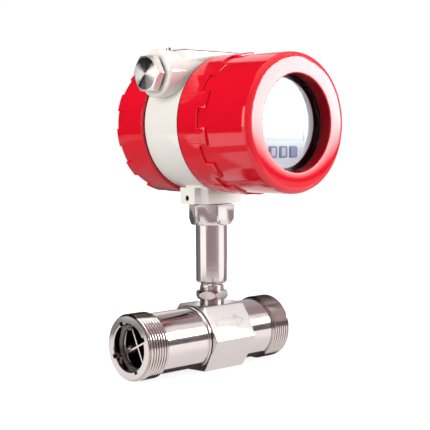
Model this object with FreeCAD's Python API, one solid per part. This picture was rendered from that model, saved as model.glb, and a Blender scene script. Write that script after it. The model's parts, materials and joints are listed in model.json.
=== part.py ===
import FreeCAD, Part
import math
import os
from FreeCAD import Vector

# A turbine flow meter: a threaded stainless pipe body with a bladed rotor between two flow
# guides, a pickup stem screwed into its hexagon, and a two-chamber instrument head on top.
# Millimetres.  Flow runs along +X, the display faces -Y and +Z is up.  The origin is the
# middle of the hexagon's underside, straight below the stem.

CUT_MARGIN = 1.0            # how far a cutting tool runs past the faces that it cuts
SHARP_END = 0.01            # cone height of a hexagon's end that stays square
THREAD_FIT = 0.05
MATCH = 0.01                # tolerance for picking an edge by its place

# ---- pipe run ---------------------------------------------------------------------------
THREAD_OD = 47.8            # G 1-1/2 parallel pipe thread, over its crests
THREAD_LENGTH = 18.5
THREAD_CHAMFER = 1.4
PIPE_OD = 44.2
INLET_LENGTH = 80.0         # stem axis to inlet face
OUTLET_LENGTH = 60.0        # stem axis to outlet face
HEX_AF = 48.0
HEX_INLET = 21.0            # stem axis to the hexagon's inlet end
HEX_OUTLET = 19.0
HEX_CHAMFER = 1.2
COLLAR_OD = 46.8
COLLAR_WIDTH = 2.0
BORE = 32.0                 # nominal bore, swept by the rotor
SEAT_BORE = 34.0            # counterbore that holds a flow guide
SEAT_SHOULDER = 20.0        # stem axis to the counterbore's shoulder
MOUTH_CHAMFER = 0.5

# ---- flow guides, their slots and rings ---------------------------------------------------
SLOT_COUNT = 4
SLOT_ANGLE = 26.0           # first slot, turned from -Y towards +Z
SLOT_WIDTH = 3.4
SLOT_DEPTH = 2.4
SLOT_LENGTH = 14.0
GUIDE_CLEARANCE = 0.05
RING_CLIP_DEPTH = 7.0       # face to the clip's groove
RING_CLIP_THICKNESS = 1.2
RING_CLIP_WIDTH = 1.7
RING_CLIP_GROOVE = 0.8
RING_CLIP_GAP = 62.0        # degrees that the clip leaves open
RING_CLIP_EAR = 2.0
RING_CLIP_EYE = 0.7
RING_CLIP_EAR_SINK = 0.3    # ear's centre inside the clip's inner edge
GUIDE_RING_DEPTH = 10.3     # face to the guide's outer ring
GUIDE_RING_WALL = 1.3
VANE_THICKNESS = 1.2
HUB_DIAMETER = 14.0
HUB_NOSE = 12.0
NOSE_ARC_ALONG = 0.62       # where the nose's arc passes, as shares of its length
NOSE_ARC_OUT = 0.72         # and of its radius
HUB_INSET = 14.0            # vane front edge to the hub's nose tip
ROTOR_GAP = 1.0             # guide hub to rotor hub

# ---- rotor and its bearings ---------------------------------------------------------------
ROTOR_LENGTH = 16.0
BLADE_COUNT = 6
BLADE_LENGTH = 14.0
BLADE_THICKNESS = 1.3
BLADE_TIP_GAP = 0.6
BLADE_TWIST = 36.0          # degrees over the blade's length
BLADE_STATIONS = 5
ROTOR_EDGE = 0.6
SHAFT_DIAMETER = 3.0
SHAFT_CLEARANCE = 0.05
SHAFT_EDGE = 0.4
BUSH_OD = 6.0
BUSH_LENGTH = 8.0
THRUST_PAD_THICKNESS = 2.0
THRUST_GAP = 0.2

# ---- pickup stem --------------------------------------------------------------------------
POCKET_WALL = 1.2           # metal left between the pickup and the bore
STEM_THREAD = 18.2
STEM_THREAD_SHOWN = 13.0    # threaded length above the hexagon
STEM_THREAD_CHAMFER = 1.0
LOCK_NUT_AF = 21.6
LOCK_NUT_HEIGHT = 6.4
LOCK_NUT_GAP = 3.2
LOCK_NUT_CHAMFER = 2.2
UNDERCUT_DIAMETER = 16.7
UNDERCUT_HEIGHT = 2.3
TUBE_OD = 23.4
TUBE_LENGTH = 43.5
TUBE_CHAMFER = 1.2
TUBE_WALL = 2.2
COIL_BORE = 13.0
TENON_DIAMETER = 20.0       # threaded tops of the tube and of the coupling nut
TENON_LENGTH = 11.0
COIL_HEIGHT = 16.0
COIL_CLEARANCE = 0.2
COIL_FLANGE = 1.2
COIL_FLANGE_RISE = 0.8      # flange above the winding
POLE_DIAMETER = 5.0
POLE_HEIGHT = 12.0
MAGNET_HEIGHT = 9.0
STEM_BOARD_WIDTH = 14.0
STEM_BOARD_HEIGHT = 32.0
STEM_CHIP_HEIGHTS = (4.0, 5.0, 4.0)
STEM_CHIP_PITCH = 9.6
BOARD_THICKNESS = 1.6
NUT_AF = 30.0
NUT_HEIGHT = 15.3
NUT_CHAMFER = 5.4           # height of the nut's deep lower chamfer
NUT_TURN = 4.0              # degrees past square that the tightened nut stands
NUT_TOP_CHAMFER = 0.8
NUT_PASSAGE = 12.0
SPIGOT_LENGTH = 15.0
SPIGOT_GROOVE = 1.4
SPIGOT_GROOVE_WIDTH = 5.0
SPIGOT_EDGE = 0.8
NECK_SEAM = 0.4
SEAL_SPIGOT_GAP = 0.3
NECK_SEAL_INSET = 2.0       # seal's edge inside the nut's flats

# ---- head casting -------------------------------------------------------------------------
NECK_DROP = 58.1            # head axis down to the underside of the neck
NECK_X = 36.0
NECK_Y = 24.0
NECK_CORNER = 4.0
NECK_ROOT = 6.0             # neck's top inside the drum
CASTING_EDGE = 0.8          # rounded edges of the slab, the neck and the pads
PAD_SPAN = 48.0             # over both set screw pads
PAD_WIDTH = 16.0
PAD_HEIGHT = 12.0
PAD_RISE = 0.3              # neck's underside up to the pads
SET_SCREW_DIAMETER = 4.0
SET_SCREW_LENGTH = 10.0
SET_SCREW_EDGE = 0.6
SET_SCREW_ENTRY = 0.3       # set screw's tip into the spigot's groove
SET_SCREW_SOCKET = 2.0
SET_SCREW_SOCKET_DEPTH = 2.0
SET_SCREW_RISE = 4.5        # neck underside to the set screw
BODY_RADIUS = 48.0
BODY_WIDTH = 37.0
COLLAR_STEP = 2.6           # casting's outside down to the threaded collar
HEAD_WALL = 3.4
COLLAR_LENGTH = 15.0        # threaded collar under each cover
BULKHEAD_FRONT = 12.0
BULKHEAD_THICKNESS = 3.0
BOSS_PROJECTION = 16.0      # conduit boss beyond the slab's end
SLAB_Y = 28.0
SLAB_TOP = 53.0             # above the head axis
BOSS_DIAMETER = 34.0
BOSS_RISE = 35.5            # head axis to the conduit axis
BOSS_SPAN = 108.0           # over both conduit bosses
BOSS_EDGE = 2.0
CONDUIT_THREAD = 20.0
CONDUIT_DEPTH = 40.0
LEAD_HOLE = 12.0
LEAD_HOLE_DROP = 22.0
LEAD_PASSAGE_RISE = 4.0     # lead passage into the chambers' floor

# ---- covers -------------------------------------------------------------------------------
COVER_FIT = 0.3             # threaded cover over its collar, radially
COVER_THREAD_SPARE = 1.5    # cover's thread beyond the collar's end
COVER_RUNOUT = 1.0
SEAL_THICKNESS = 0.7
SEAL_CLEARANCE = 0.05
COVER_STEP = 1.0            # cover's plain outside above the casting's
LUG_HEIGHT = 1.5            # rim and lugs above the cover's plain outside
LUG_COUNT = 12
LUG_ANGLE = 15.0
LUG_START = 123.0           # first lug, turned from +X towards +Z
LUG_ROOT = 40.0             # head centre to the step between the lugs
LUG_TIP = 48.0              # head centre to the lugs' tips
FRONT_FACE = 88.0           # head centre to the window cover's face
REAR_FACE = 53.0            # head centre to the blind cover's face
COVER_EDGE = 4.5
COVER_WALL = 4.0
REAR_FLOOR = 4.5
WINDOW_RADIUS = 34.0
WINDOW_LIP = 8.0
WINDOW_EDGE = 0.8
WINDOW_GASKET = 2.2
GLASS_THICKNESS = 5.0
GLASS_RADIUS = 40.0
GLASS_CLEARANCE = 0.2
GLASS_RING_THICKNESS = 3.5
GLASS_RING_WALL = 4.2
SPANNER_SLOT = 3.0
SPANNER_SLOT_DEPTH = 1.2

# ---- electronics --------------------------------------------------------------------------
DISPLAY_GAP = 1.5           # glass to the face plate
FACE_RADIUS = 31.0
FACE_THICKNESS = 1.5
FACE_SKIRT_WALL = 1.2
LCD_WIDTH = 44.0
LCD_HEIGHT = 26.0
LCD_DROP = 12.0             # head axis down to the display's lower border
LCD_DEPTH = 6.0
LCD_RECESS = 0.5
LCD_FRAME = 1.5
LCD_CLEARANCE = 0.2
LCD_SINK = 0.4              # glass below its frame's edge
KEY_PITCH = 10.0
KEY_WIDTH = 7.0
KEY_HEIGHT = 8.0
KEY_DROP = 19.6
KEY_PROUD = 0.9
KEY_TRAVEL = 0.5
KEY_CLEARANCE = 0.15
KEY_FLANGE = 0.8
KEY_FLANGE_WIDTH = 0.7
KEY_CORNER = 1.2
KEY_STOP_GAP = 0.1          # flange to the back of the face plate
KEY_SWITCH_GAP = 0.3        # key to its switch at the end of its travel
SWITCH_HEIGHT = 3.0
SWITCH_SIZE = 5.0
DISPLAY_BOARD_RADIUS = 32.0
MAIN_BOARD_GAP = 3.0        # main board's edge to the chamber's wall
CHIP_THICKNESS = 2.6
CHIP_SIZE = 14.0
CAPACITOR_HEIGHT = 6.6
CAPACITOR_WIDTH = 9.0
CHIP_SPREAD = 20.0
MAIN_STANDOFF = 10.0
STANDOFF_AF = 5.0
STANDOFF_RADIUS = 27.0      # standoffs' distance from the head axis
STANDOFF_COUNT = 4
SCREW_HEAD = 5.0
SCREW_HEAD_HEIGHT = 2.0
SCREW_SHANK = 2.5
SCREW_CLEARANCE = 0.1
TERMINAL_BOARD_X = 62.0
TERMINAL_BOARD_Z = 38.0
TERMINAL_BOARD_DROP = 6.0   # head axis down to the board's middle
TERMINAL_INSET = 4.0        # board's edge to its fixing screws
TERMINAL_STANDOFF = 18.0
TERMINAL_WAYS = 6
TERMINAL_PITCH = 7.6
TERMINAL_HEIGHT = 12.0
TERMINAL_DEPTH = 11.0
TERMINAL_SCREW = 4.0
TERMINAL_SCREW_HEIGHT = 4.0
TERMINAL_WELL_CLEARANCE = 0.2
TERMINAL_WELL_RISE = 2.0
TERMINAL_MOUTH = 4.0

# ---- conduit fittings ---------------------------------------------------------------------
PLUG_AF = 24.5
PLUG_HEAD = 6.3
PLUG_CHAMFER = 1.6
PLUG_FACE_INSET = 0.9       # plug's turned face inside its flats
PLUG_SHANK = 14.0
FITTING_SEAL = 2.0
FITTING_SEAL_OD = 23.0
GLAND_AF = 24.0
GLAND_HEX = 5.0
GLAND_NECK = 8.0
GLAND_THREAD = 17.0
GLAND_EDGE = 0.6
GLAND_PASSAGE = 9.0
GLAND_CAP = 13.0
GLAND_CAP_AF = 23.0
GLAND_CAP_GAP = 0.5         # body's hexagon to the cap
GLAND_CAP_WELL = 9.6
GLAND_GRIP = 8.0            # hexagonal length of the cap
GLAND_GRIP_EDGE = 0.8
GLAND_DOME = 20.8           # dome's diameters at its foot, its crown and its nose
GLAND_CROWN = 17.6
GLAND_NOSE = 10.8
GLAND_CROWN_DROP = 2.5      # crown below the nose
GLAND_CABLE = 8.0           # cable bore of the sealing insert
GLAND_CABLE_GAP = 0.3
GLAND_INSERT_OD = 13.0
GLAND_INSERT_LENGTH = 10.0
GLAND_INSERT_SINK = 1.0     # insert's seat below the face of the body's hexagon
EARTH_SCREW = 3.0
EARTH_SHANK = 6.0
EARTH_HOLE = 7.0
EARTH_HEAD = 5.0
EARTH_HEAD_HEIGHT = 1.5
EARTH_WASHER = 6.0
EARTH_WASHER_THICKNESS = 0.5
EARTH_INSET = 3.2           # earth screw in from the slab's end
EARTH_BACK = 5.5            # and behind the middle of the slab
SLOT_CUT = 1.0

# ---- places that follow from the sizes ------------------------------------------------------
X = Vector(1, 0, 0)
Y = Vector(0, 1, 0)
Z = Vector(0, 0, 1)
FRONT = Vector(0, -1, 0)
PIPE_Z = HEX_AF / 2
PIPE = Vector(0, 0, PIPE_Z)
HEX_TOP = PIPE_Z + HEX_AF / 2
POCKET_Z = PIPE_Z + BORE / 2 + POCKET_WALL
STEM_THREAD_TOP = HEX_TOP + STEM_THREAD_SHOWN
TUBE_Z = STEM_THREAD_TOP + UNDERCUT_HEIGHT
NUT_Z = TUBE_Z + TUBE_LENGTH
NUT_TOP = NUT_Z + NUT_HEIGHT
NECK_Z = NUT_TOP + NECK_SEAM
HEAD_Z = NECK_Z + NECK_DROP
HEAD = Vector(0, 0, HEAD_Z)
COLLAR_RADIUS = BODY_RADIUS - COLLAR_STEP
CHAMBER_RADIUS = COLLAR_RADIUS - HEAD_WALL
COVER_BORE = COLLAR_RADIUS + COVER_FIT
FRONT_RADIUS = BODY_RADIUS + COVER_STEP
RIM_RADIUS = FRONT_RADIUS + LUG_HEIGHT
MAIN_BOARD_RADIUS = CHAMBER_RADIUS - MAIN_BOARD_GAP
SLAB_X = BOSS_SPAN - 2 * BOSS_PROJECTION
SHOULDER = BODY_WIDTH / 2
RIM_START = SHOULDER + SEAL_THICKNESS + 2 * SEAL_CLEARANCE
CONDUIT_Z = HEAD_Z + BOSS_RISE
FITTING_X = BOSS_SPAN / 2 + FITTING_SEAL
HUB_END = ROTOR_LENGTH / 2 + ROTOR_GAP
TERMINAL_BOARD_Y = TERMINAL_STANDOFF - BULKHEAD_FRONT + BULKHEAD_THICKNESS
GLASS_FRONT = FRONT_FACE - WINDOW_LIP - WINDOW_GASKET
GLASS_BACK = GLASS_FRONT - GLASS_THICKNESS
DISPLAY_FACE = GLASS_BACK - DISPLAY_GAP
DISPLAY_BOARD_BACK = DISPLAY_FACE - FACE_THICKNESS - LCD_DEPTH + LCD_RECESS - BOARD_THICKNESS
MAIN_BOARD_BACK = BULKHEAD_FRONT + MAIN_STANDOFF


# ---- shapes -------------------------------------------------------------------------------
def across(axis):
    """A unit vector square to the axis: +Z for level axes, +X for an upright one."""
    return X if abs(axis.z) > 0.5 else Z


def rod(axis, start, length, radius):
    return Part.makeCylinder(radius, length, start, axis)


def tube(axis, start, length, outer, inner):
    hole = rod(axis, start - axis * CUT_MARGIN, length + 2 * CUT_MARGIN, inner)
    return rod(axis, start, length, outer).cut(hole)


def turned(axis, origin, profile, side=None, angle=360.0, spin=None):
    """Turn a profile of (distance along the axis, radius) pairs about the axis."""
    side = side or across(axis)
    points = [origin + axis * along + side * radius for along, radius in profile]
    face = Part.Face(Part.makePolygon(points + points[:1]))
    return face.revolve(origin, spin or axis, angle)


def hexagon(axis, start, length, across_flats, corner):
    """A hexagonal bar with one of its edges on the corner side of the axis."""
    reach = across_flats / math.sqrt(3)
    turn = FreeCAD.Rotation(axis, 60)
    arm = corner * reach
    points = []
    for _ in range(6):
        points.append(start + arm)
        arm = turn.multVec(arm)
    return Part.Face(Part.makePolygon(points + points[:1])).extrude(axis * length)


def turned_hexagon(axis, start, length, across_flats, corner, low, high, inset=0.1):
    """A hexagonal bar whose ends are turned to cones, each of the given height."""
    face = across_flats / 2 - inset
    tip = across_flats / math.sqrt(3) + MATCH
    profile = [(0, 0), (0, face), (low, tip), (length - high, tip), (length, face),
               (length, 0)]
    blank = turned(axis, start, profile)
    return hexagon(axis, start, length, across_flats, corner).common(blank)


def box_about(centre, size_x, size_y, size_z):
    corner = centre - Vector(size_x, size_y, size_z) * 0.5
    return Part.makeBox(size_x, size_y, size_z, corner)


def eased_box(centre, size_x, size_y, size_z):
    """A cast block: a box with small round edges."""
    block = box_about(centre, size_x, size_y, size_z)
    return block.makeFillet(CASTING_EDGE, block.Edges)


def around(count, shape, origin, axis):
    """Copies of a shape, evenly turned about an axis."""
    copies = []
    for index in range(count):
        copy = shape.copy()
        copy.rotate(origin, axis, 360.0 * index / count)
        copies.append(copy)
    return copies


def fuse(shapes):
    return shapes[0].multiFuse(shapes[1:]).removeSplitter()


def round_circles(shape, size, axis, origin, along, radius):
    """Fillet the full circles of one radius that lie at one distance along the axis."""
    edges = []
    for edge in shape.Edges:
        if isinstance(edge.Curve, Part.Circle) and abs(edge.Curve.Radius - radius) < MATCH:
            if abs((edge.Curve.Center - origin).dot(axis) - along) < MATCH:
                edges.append(edge)
    return shape.makeFillet(size, edges)


def save(name, shape):
    """Write one piece, or one group of like pieces, to its own file."""
    if shape.ShapeType == "Compound" and len(shape.Solids) == 1:
        shape = shape.Solids[0]
    if not shape.isValid() or not shape.Solids:
        raise ValueError(name + " is not a sound solid")
    shape.exportStep(os.path.join("parts", name + ".step"))


# ---- pipe run -----------------------------------------------------------------------------
def slot_side():
    return FreeCAD.Rotation(X, -SLOT_ANGLE).multVec(FRONT)


def end_cylinder(face_x, inward):
    """The plain blank of one threaded end, chamfered at both of its ends."""
    radius = THREAD_OD / 2
    small = radius - THREAD_CHAMFER
    profile = [(0, 0), (0, small), (THREAD_CHAMFER, radius),
               (THREAD_LENGTH - THREAD_CHAMFER, radius), (THREAD_LENGTH, small),
               (THREAD_LENGTH, 0)]
    return turned(inward, Vector(face_x, 0, PIPE_Z), profile)


def bore_tool():
    """Everything that is bored out along the pipe."""
    seat = SEAT_BORE / 2
    start = -INLET_LENGTH - CUT_MARGIN
    end = OUTLET_LENGTH + CUT_MARGIN
    mouth = seat + MOUTH_CHAMFER
    profile = [(start, 0), (start, mouth), (-INLET_LENGTH, mouth),
               (-INLET_LENGTH + MOUTH_CHAMFER, seat),
               (-SEAT_SHOULDER, seat), (-SEAT_SHOULDER, BORE / 2),
               (SEAT_SHOULDER, BORE / 2), (SEAT_SHOULDER, seat),
               (OUTLET_LENGTH - MOUTH_CHAMFER, seat), (OUTLET_LENGTH, mouth),
               (end, mouth), (end, 0)]
    return turned(X, PIPE, profile)


def mouth_cuts(face_x, inward):
    """The guide's slots and the clip's groove at one end of the pipe."""
    face = Vector(face_x, 0, PIPE_Z)
    reach = SEAT_BORE / 2 + SLOT_DEPTH
    slot = Part.makeBox(SLOT_LENGTH + CUT_MARGIN, SLOT_WIDTH, reach,
                        Vector(-CUT_MARGIN, -SLOT_WIDTH / 2, 0))
    slot.Placement = frame_at(face, inward, slot_side()).multiply(slot.Placement)
    cuts = around(SLOT_COUNT, slot, face, X)
    groove = SEAT_BORE / 2 + RING_CLIP_GROOVE
    cuts.append(rod(inward, face + inward * RING_CLIP_DEPTH, RING_CLIP_THICKNESS, groove))
    return cuts


def frame_at(origin, x_axis, z_axis):
    """A placement whose own X and Z axes point along the given directions."""
    y_axis = z_axis.cross(x_axis)
    turn = FreeCAD.Rotation(x_axis, y_axis, z_axis, "XZY")
    return FreeCAD.Placement(origin, turn)


def make_meter_body():
    run = rod(X, Vector(-INLET_LENGTH + THREAD_LENGTH, 0, PIPE_Z),
              INLET_LENGTH + OUTLET_LENGTH - 2 * THREAD_LENGTH, PIPE_OD / 2)
    collar = rod(X, Vector(-HEX_INLET - COLLAR_WIDTH, 0, PIPE_Z), COLLAR_WIDTH, COLLAR_OD / 2)
    block = turned_hexagon(X, Vector(-HEX_INLET, 0, PIPE_Z), HEX_INLET + HEX_OUTLET,
                           HEX_AF, Y, HEX_CHAMFER, HEX_CHAMFER)
    blank = fuse([run, collar, block, end_cylinder(-INLET_LENGTH, X),
                  end_cylinder(OUTLET_LENGTH, X * -1)])
    pocket = rod(Z, Vector(0, 0, POCKET_Z), HEX_TOP, STEM_THREAD / 2 + THREAD_FIT)
    cuts = [bore_tool(), pocket]
    cuts += mouth_cuts(-INLET_LENGTH, X)
    cuts += mouth_cuts(OUTLET_LENGTH, X * -1)
    return blank.cut(cuts)


def guide_hub(length, away):
    """A hub with a rounded nose, bored for the bush and the thrust pad."""
    radius = HUB_DIAMETER / 2
    nose = HUB_NOSE
    base = PIPE + away * HUB_END
    tip = base + away * length
    shoulder = length - nose
    corner = base + away * shoulder + Z * radius
    middle = base + away * (shoulder + NOSE_ARC_ALONG * nose) + Z * (radius * NOSE_ARC_OUT)
    curve = Part.Arc(corner, middle, tip).toShape()
    outline = Part.Wire([Part.makeLine(base, base + Z * radius),
                         Part.makeLine(base + Z * radius, corner), curve,
                         Part.makeLine(tip, base)])
    hub = Part.Face(outline).revolve(base, away, 360)
    well = BUSH_LENGTH + THRUST_PAD_THICKNESS
    return hub.cut(rod(away, base, well, BUSH_OD / 2))


def make_guide(face_length, away):
    """A hub on crossed vanes, inside a short ring whose lugs stop it from turning."""
    face = PIPE + away * face_length
    vane_front = RING_CLIP_DEPTH + RING_CLIP_THICKNESS
    vane_length = face_length - vane_front - SEAT_SHOULDER
    radius = SEAT_BORE / 2 - GUIDE_CLEARANCE
    vane = Part.makeBox(vane_length, VANE_THICKNESS, 2 * radius,
                        Vector(0, -VANE_THICKNESS / 2, -radius))
    vane.Placement = frame_at(face - away * vane_front, away * -1, slot_side())
    vane = vane.common(rod(away * -1, face, face_length, radius))
    cross = around(2, vane, PIPE, X)
    cross[1].rotate(PIPE, X, -90)
    hub = guide_hub(face_length - vane_front - HUB_INSET - HUB_END, away)
    ring_start = face - away * GUIDE_RING_DEPTH
    ring_width = SLOT_LENGTH - GUIDE_RING_DEPTH
    ring = tube(away * -1, ring_start, ring_width, radius, radius - GUIDE_RING_WALL)
    lug_reach = SEAT_BORE / 2 + SLOT_DEPTH - 2 * GUIDE_CLEARANCE
    lug_base = radius - GUIDE_RING_WALL / 2
    lug = Part.makeBox(ring_width, SLOT_WIDTH - 2 * GUIDE_CLEARANCE, lug_reach - lug_base,
                       Vector(0, GUIDE_CLEARANCE - SLOT_WIDTH / 2, lug_base))
    lug.Placement = frame_at(ring_start, away * -1, slot_side())
    well = rod(away, PIPE + away * HUB_END, BUSH_LENGTH + THRUST_PAD_THICKNESS, BUSH_OD / 2)
    return fuse([hub, ring] + cross + around(SLOT_COUNT, lug, PIPE, X)).cut(well)


def make_snap_ring(face_length, away):
    """A sprung clip in its groove, open at the top, with two eyed ears."""
    start = PIPE + away * (face_length - RING_CLIP_DEPTH - RING_CLIP_THICKNESS)
    outer = SEAT_BORE / 2 + RING_CLIP_GROOVE - GUIDE_CLEARANCE
    inner = outer - RING_CLIP_GROOVE - RING_CLIP_WIDTH
    band = tube(away, start, RING_CLIP_THICKNESS, outer, inner)
    wedge = gap_wedge(start, away, outer)
    parts = [band.cut(wedge)]
    holes = []
    for sign in (-1, 1):
        half = math.radians(sign * RING_CLIP_GAP / 2)
        ear = Vector(0, math.sin(half), math.cos(half)) * (inner - RING_CLIP_EAR_SINK)
        parts.append(rod(away, start + ear, RING_CLIP_THICKNESS, RING_CLIP_EAR))
        holes.append(rod(away, start + ear - away * CUT_MARGIN,
                         RING_CLIP_THICKNESS + 2 * CUT_MARGIN, RING_CLIP_EYE))
    return fuse(parts).cut(holes)


def gap_wedge(start, away, outer):
    """The sector that is open between the clip's ears."""
    reach = 2 * outer
    half = math.radians(RING_CLIP_GAP / 2)
    left = start + Vector(0, -math.sin(half), math.cos(half)) * reach
    right = start + Vector(0, math.sin(half), math.cos(half)) * reach
    face = Part.Face(Part.makePolygon([start, left, right, start]))
    face.translate(away * -CUT_MARGIN)
    return face.extrude(away * (RING_CLIP_THICKNESS + 2 * CUT_MARGIN))


def make_bush(away):
    inner = SHAFT_DIAMETER / 2 + SHAFT_CLEARANCE
    return tube(away, PIPE + away * HUB_END, BUSH_LENGTH, BUSH_OD / 2, inner)


def make_thrust_pad(away):
    start = PIPE + away * (HUB_END + BUSH_LENGTH)
    return rod(away, start, THRUST_PAD_THICKNESS, BUSH_OD / 2)


def blade_section(along, angle):
    """The blade's cross-section at one distance along the pipe axis."""
    root = HUB_DIAMETER / 2 - CUT_MARGIN
    tip = BORE / 2 + CUT_MARGIN
    half = BLADE_THICKNESS / 2
    corners = [(root, -half), (tip, -half), (tip, half), (root, half)]
    points = [PIPE + Vector(along, side, radial) for radial, side in corners]
    wire = Part.makePolygon(points + points[:1])
    wire.rotate(PIPE, X, angle)
    return wire


def make_rotor():
    """A hub with helical blades; the blades' tips are turned to one diameter."""
    sections = []
    for station in range(BLADE_STATIONS):
        share = station / (BLADE_STATIONS - 1)
        along = (share - 0.5) * BLADE_LENGTH
        sections.append(blade_section(along, (share - 0.5) * BLADE_TWIST))
    tip = BORE / 2 - BLADE_TIP_GAP
    blade = Part.makeLoft(sections, True, False)
    blade = blade.common(rod(X, PIPE - X * BLADE_LENGTH, 2 * BLADE_LENGTH, tip))
    start = PIPE - X * (ROTOR_LENGTH / 2)
    edge = ROTOR_EDGE
    radius = HUB_DIAMETER / 2
    hub = turned(X, start, [(0, 0), (0, radius - edge), (edge, radius),
                            (ROTOR_LENGTH - edge, radius), (ROTOR_LENGTH, radius - edge),
                            (ROTOR_LENGTH, 0)])
    wheel = fuse([hub] + around(BLADE_COUNT, blade, PIPE, X))
    bore = rod(X, start - X * CUT_MARGIN, ROTOR_LENGTH + 2 * CUT_MARGIN, SHAFT_DIAMETER / 2)
    return wheel.cut(bore)


def make_rotor_shaft():
    reach = HUB_END + BUSH_LENGTH - THRUST_GAP
    radius = SHAFT_DIAMETER / 2
    edge = SHAFT_EDGE
    profile = [(0, 0), (0, radius - edge), (edge, radius), (2 * reach - edge, radius),
               (2 * reach, radius - edge), (2 * reach, 0)]
    return turned(X, PIPE - X * reach, profile)


# ---- pickup stem --------------------------------------------------------------------------
def make_pickup_housing():
    thread = STEM_THREAD / 2
    shell = TUBE_OD / 2
    chamfer = STEM_THREAD_CHAMFER
    profile = [(POCKET_Z, 0), (POCKET_Z, thread - chamfer), (POCKET_Z + chamfer, thread),
               (STEM_THREAD_TOP, thread), (STEM_THREAD_TOP, UNDERCUT_DIAMETER / 2),
               (TUBE_Z, UNDERCUT_DIAMETER / 2), (TUBE_Z, shell - TUBE_CHAMFER),
               (TUBE_Z + TUBE_CHAMFER, shell), (NUT_Z, shell), (NUT_Z, TENON_DIAMETER / 2),
               (NUT_Z + TENON_LENGTH, TENON_DIAMETER / 2), (NUT_Z + TENON_LENGTH, 0)]
    blank = turned(Z, Vector(0, 0, 0), profile)
    floor = POCKET_Z + POCKET_WALL
    coil_well = rod(Z, Vector(0, 0, floor), HEAD_Z, COIL_BORE / 2)
    step = TUBE_Z + TUBE_CHAMFER + TUBE_WALL
    board_well = rod(Z, Vector(0, 0, step), NUT_Z - TUBE_WALL - step, shell - TUBE_WALL)
    mouth = rod(Z, Vector(0, 0, NUT_Z - TUBE_WALL - CUT_MARGIN), HEAD_Z,
                TENON_DIAMETER / 2 - TUBE_WALL)
    return blank.cut([coil_well, board_well, mouth])


def coil_floor():
    return Vector(0, 0, POCKET_Z + POCKET_WALL)


def make_pickup_coil():
    """A wound bobbin: the winding between two flanges."""
    outer = COIL_BORE / 2 - COIL_CLEARANCE
    inner = POLE_DIAMETER / 2 + COIL_CLEARANCE
    flange = COIL_FLANGE
    winding = outer - COIL_FLANGE_RISE
    profile = [(0, inner), (0, outer), (flange, outer), (flange, winding),
               (COIL_HEIGHT - flange, winding), (COIL_HEIGHT - flange, outer),
               (COIL_HEIGHT, outer), (COIL_HEIGHT, inner)]
    return turned(Z, coil_floor(), profile)


def make_pole_piece():
    return rod(Z, coil_floor(), POLE_HEIGHT, POLE_DIAMETER / 2)


def make_pickup_magnet():
    return rod(Z, coil_floor() + Z * POLE_HEIGHT, MAGNET_HEIGHT, POLE_DIAMETER / 2)


def make_stem_board():
    """The preamplifier's narrow board, with its components as low blocks."""
    middle = TUBE_Z + TUBE_LENGTH / 2
    board = box_about(Vector(0, 0, middle), STEM_BOARD_WIDTH, BOARD_THICKNESS, STEM_BOARD_HEIGHT)
    pieces = [board]
    for index, height in enumerate(STEM_CHIP_HEIGHTS):
        chip = Vector(0, BOARD_THICKNESS, middle + (index - 1) * STEM_CHIP_PITCH)
        pieces.append(box_about(chip, STEM_BOARD_WIDTH / 2, BOARD_THICKNESS, height))
    return fuse(pieces)


def make_lock_nut():
    start = Vector(0, 0, HEX_TOP + LOCK_NUT_GAP)
    nut = turned_hexagon(Z, start, LOCK_NUT_HEIGHT, LOCK_NUT_AF, X, LOCK_NUT_CHAMFER,
                         LOCK_NUT_CHAMFER)
    hole = rod(Z, Vector(0, 0, HEX_TOP), STEM_THREAD_SHOWN, STEM_THREAD / 2 + THREAD_FIT)
    return nut.cut(hole)


def make_coupling_nut():
    """The hexagon on top of the stem: it screws onto the tube and carries the head's spigot."""
    start = Vector(0, 0, NUT_Z)
    corner = FreeCAD.Rotation(Z, NUT_TURN).multVec(X)
    nut = turned_hexagon(Z, start, NUT_HEIGHT, NUT_AF, corner, NUT_CHAMFER, NUT_TOP_CHAMFER)
    radius = TENON_DIAMETER / 2
    groove = radius - SPIGOT_GROOVE
    middle = NECK_Z + SET_SCREW_RISE
    low = middle - SPIGOT_GROOVE_WIDTH / 2
    high = middle + SPIGOT_GROOVE_WIDTH / 2
    top = NUT_TOP + SPIGOT_LENGTH
    spigot = turned(Z, Vector(0, 0, 0),
                    [(NUT_TOP - CUT_MARGIN, 0), (NUT_TOP - CUT_MARGIN, radius), (low, radius),
                     (low, groove), (high, groove), (high, radius),
                     (top - SPIGOT_EDGE, radius), (top, radius - SPIGOT_EDGE), (top, 0)])
    socket = rod(Z, start - Z * CUT_MARGIN, TENON_LENGTH + CUT_MARGIN + THREAD_FIT,
                 radius + THREAD_FIT)
    passage = rod(Z, start, NUT_HEIGHT + SPIGOT_LENGTH + CUT_MARGIN, NUT_PASSAGE / 2)
    return fuse([nut, spigot]).cut([socket, passage])


def make_neck_seal():
    inner = TENON_DIAMETER / 2 + SEAL_SPIGOT_GAP
    outer = NUT_AF / 2 - NECK_SEAL_INSET
    return tube(Z, Vector(0, 0, NUT_TOP), NECK_SEAM - SEAL_CLEARANCE, outer, inner)


# ---- head casting -------------------------------------------------------------------------
def neck_blank():
    """The square neck with cut corners, and the pads that the set screw goes through."""
    height = NECK_DROP - BODY_RADIUS + NECK_ROOT
    half_x = NECK_X / 2
    half_y = NECK_Y / 2
    cut = NECK_CORNER
    outline = [(half_x - cut, -half_y), (half_x, cut - half_y), (half_x, half_y - cut),
               (half_x - cut, half_y), (cut - half_x, half_y), (-half_x, half_y - cut),
               (-half_x, cut - half_y), (cut - half_x, -half_y)]
    points = [Vector(x, y, NECK_Z) for x, y in outline]
    block = Part.Face(Part.makePolygon(points + points[:1])).extrude(Z * height)
    block = block.makeFillet(CASTING_EDGE, uprights(block))
    middle = Vector(0, 0, NECK_Z + PAD_RISE + PAD_HEIGHT / 2)
    return [block, eased_box(middle, PAD_SPAN, PAD_WIDTH, PAD_HEIGHT)]


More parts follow.
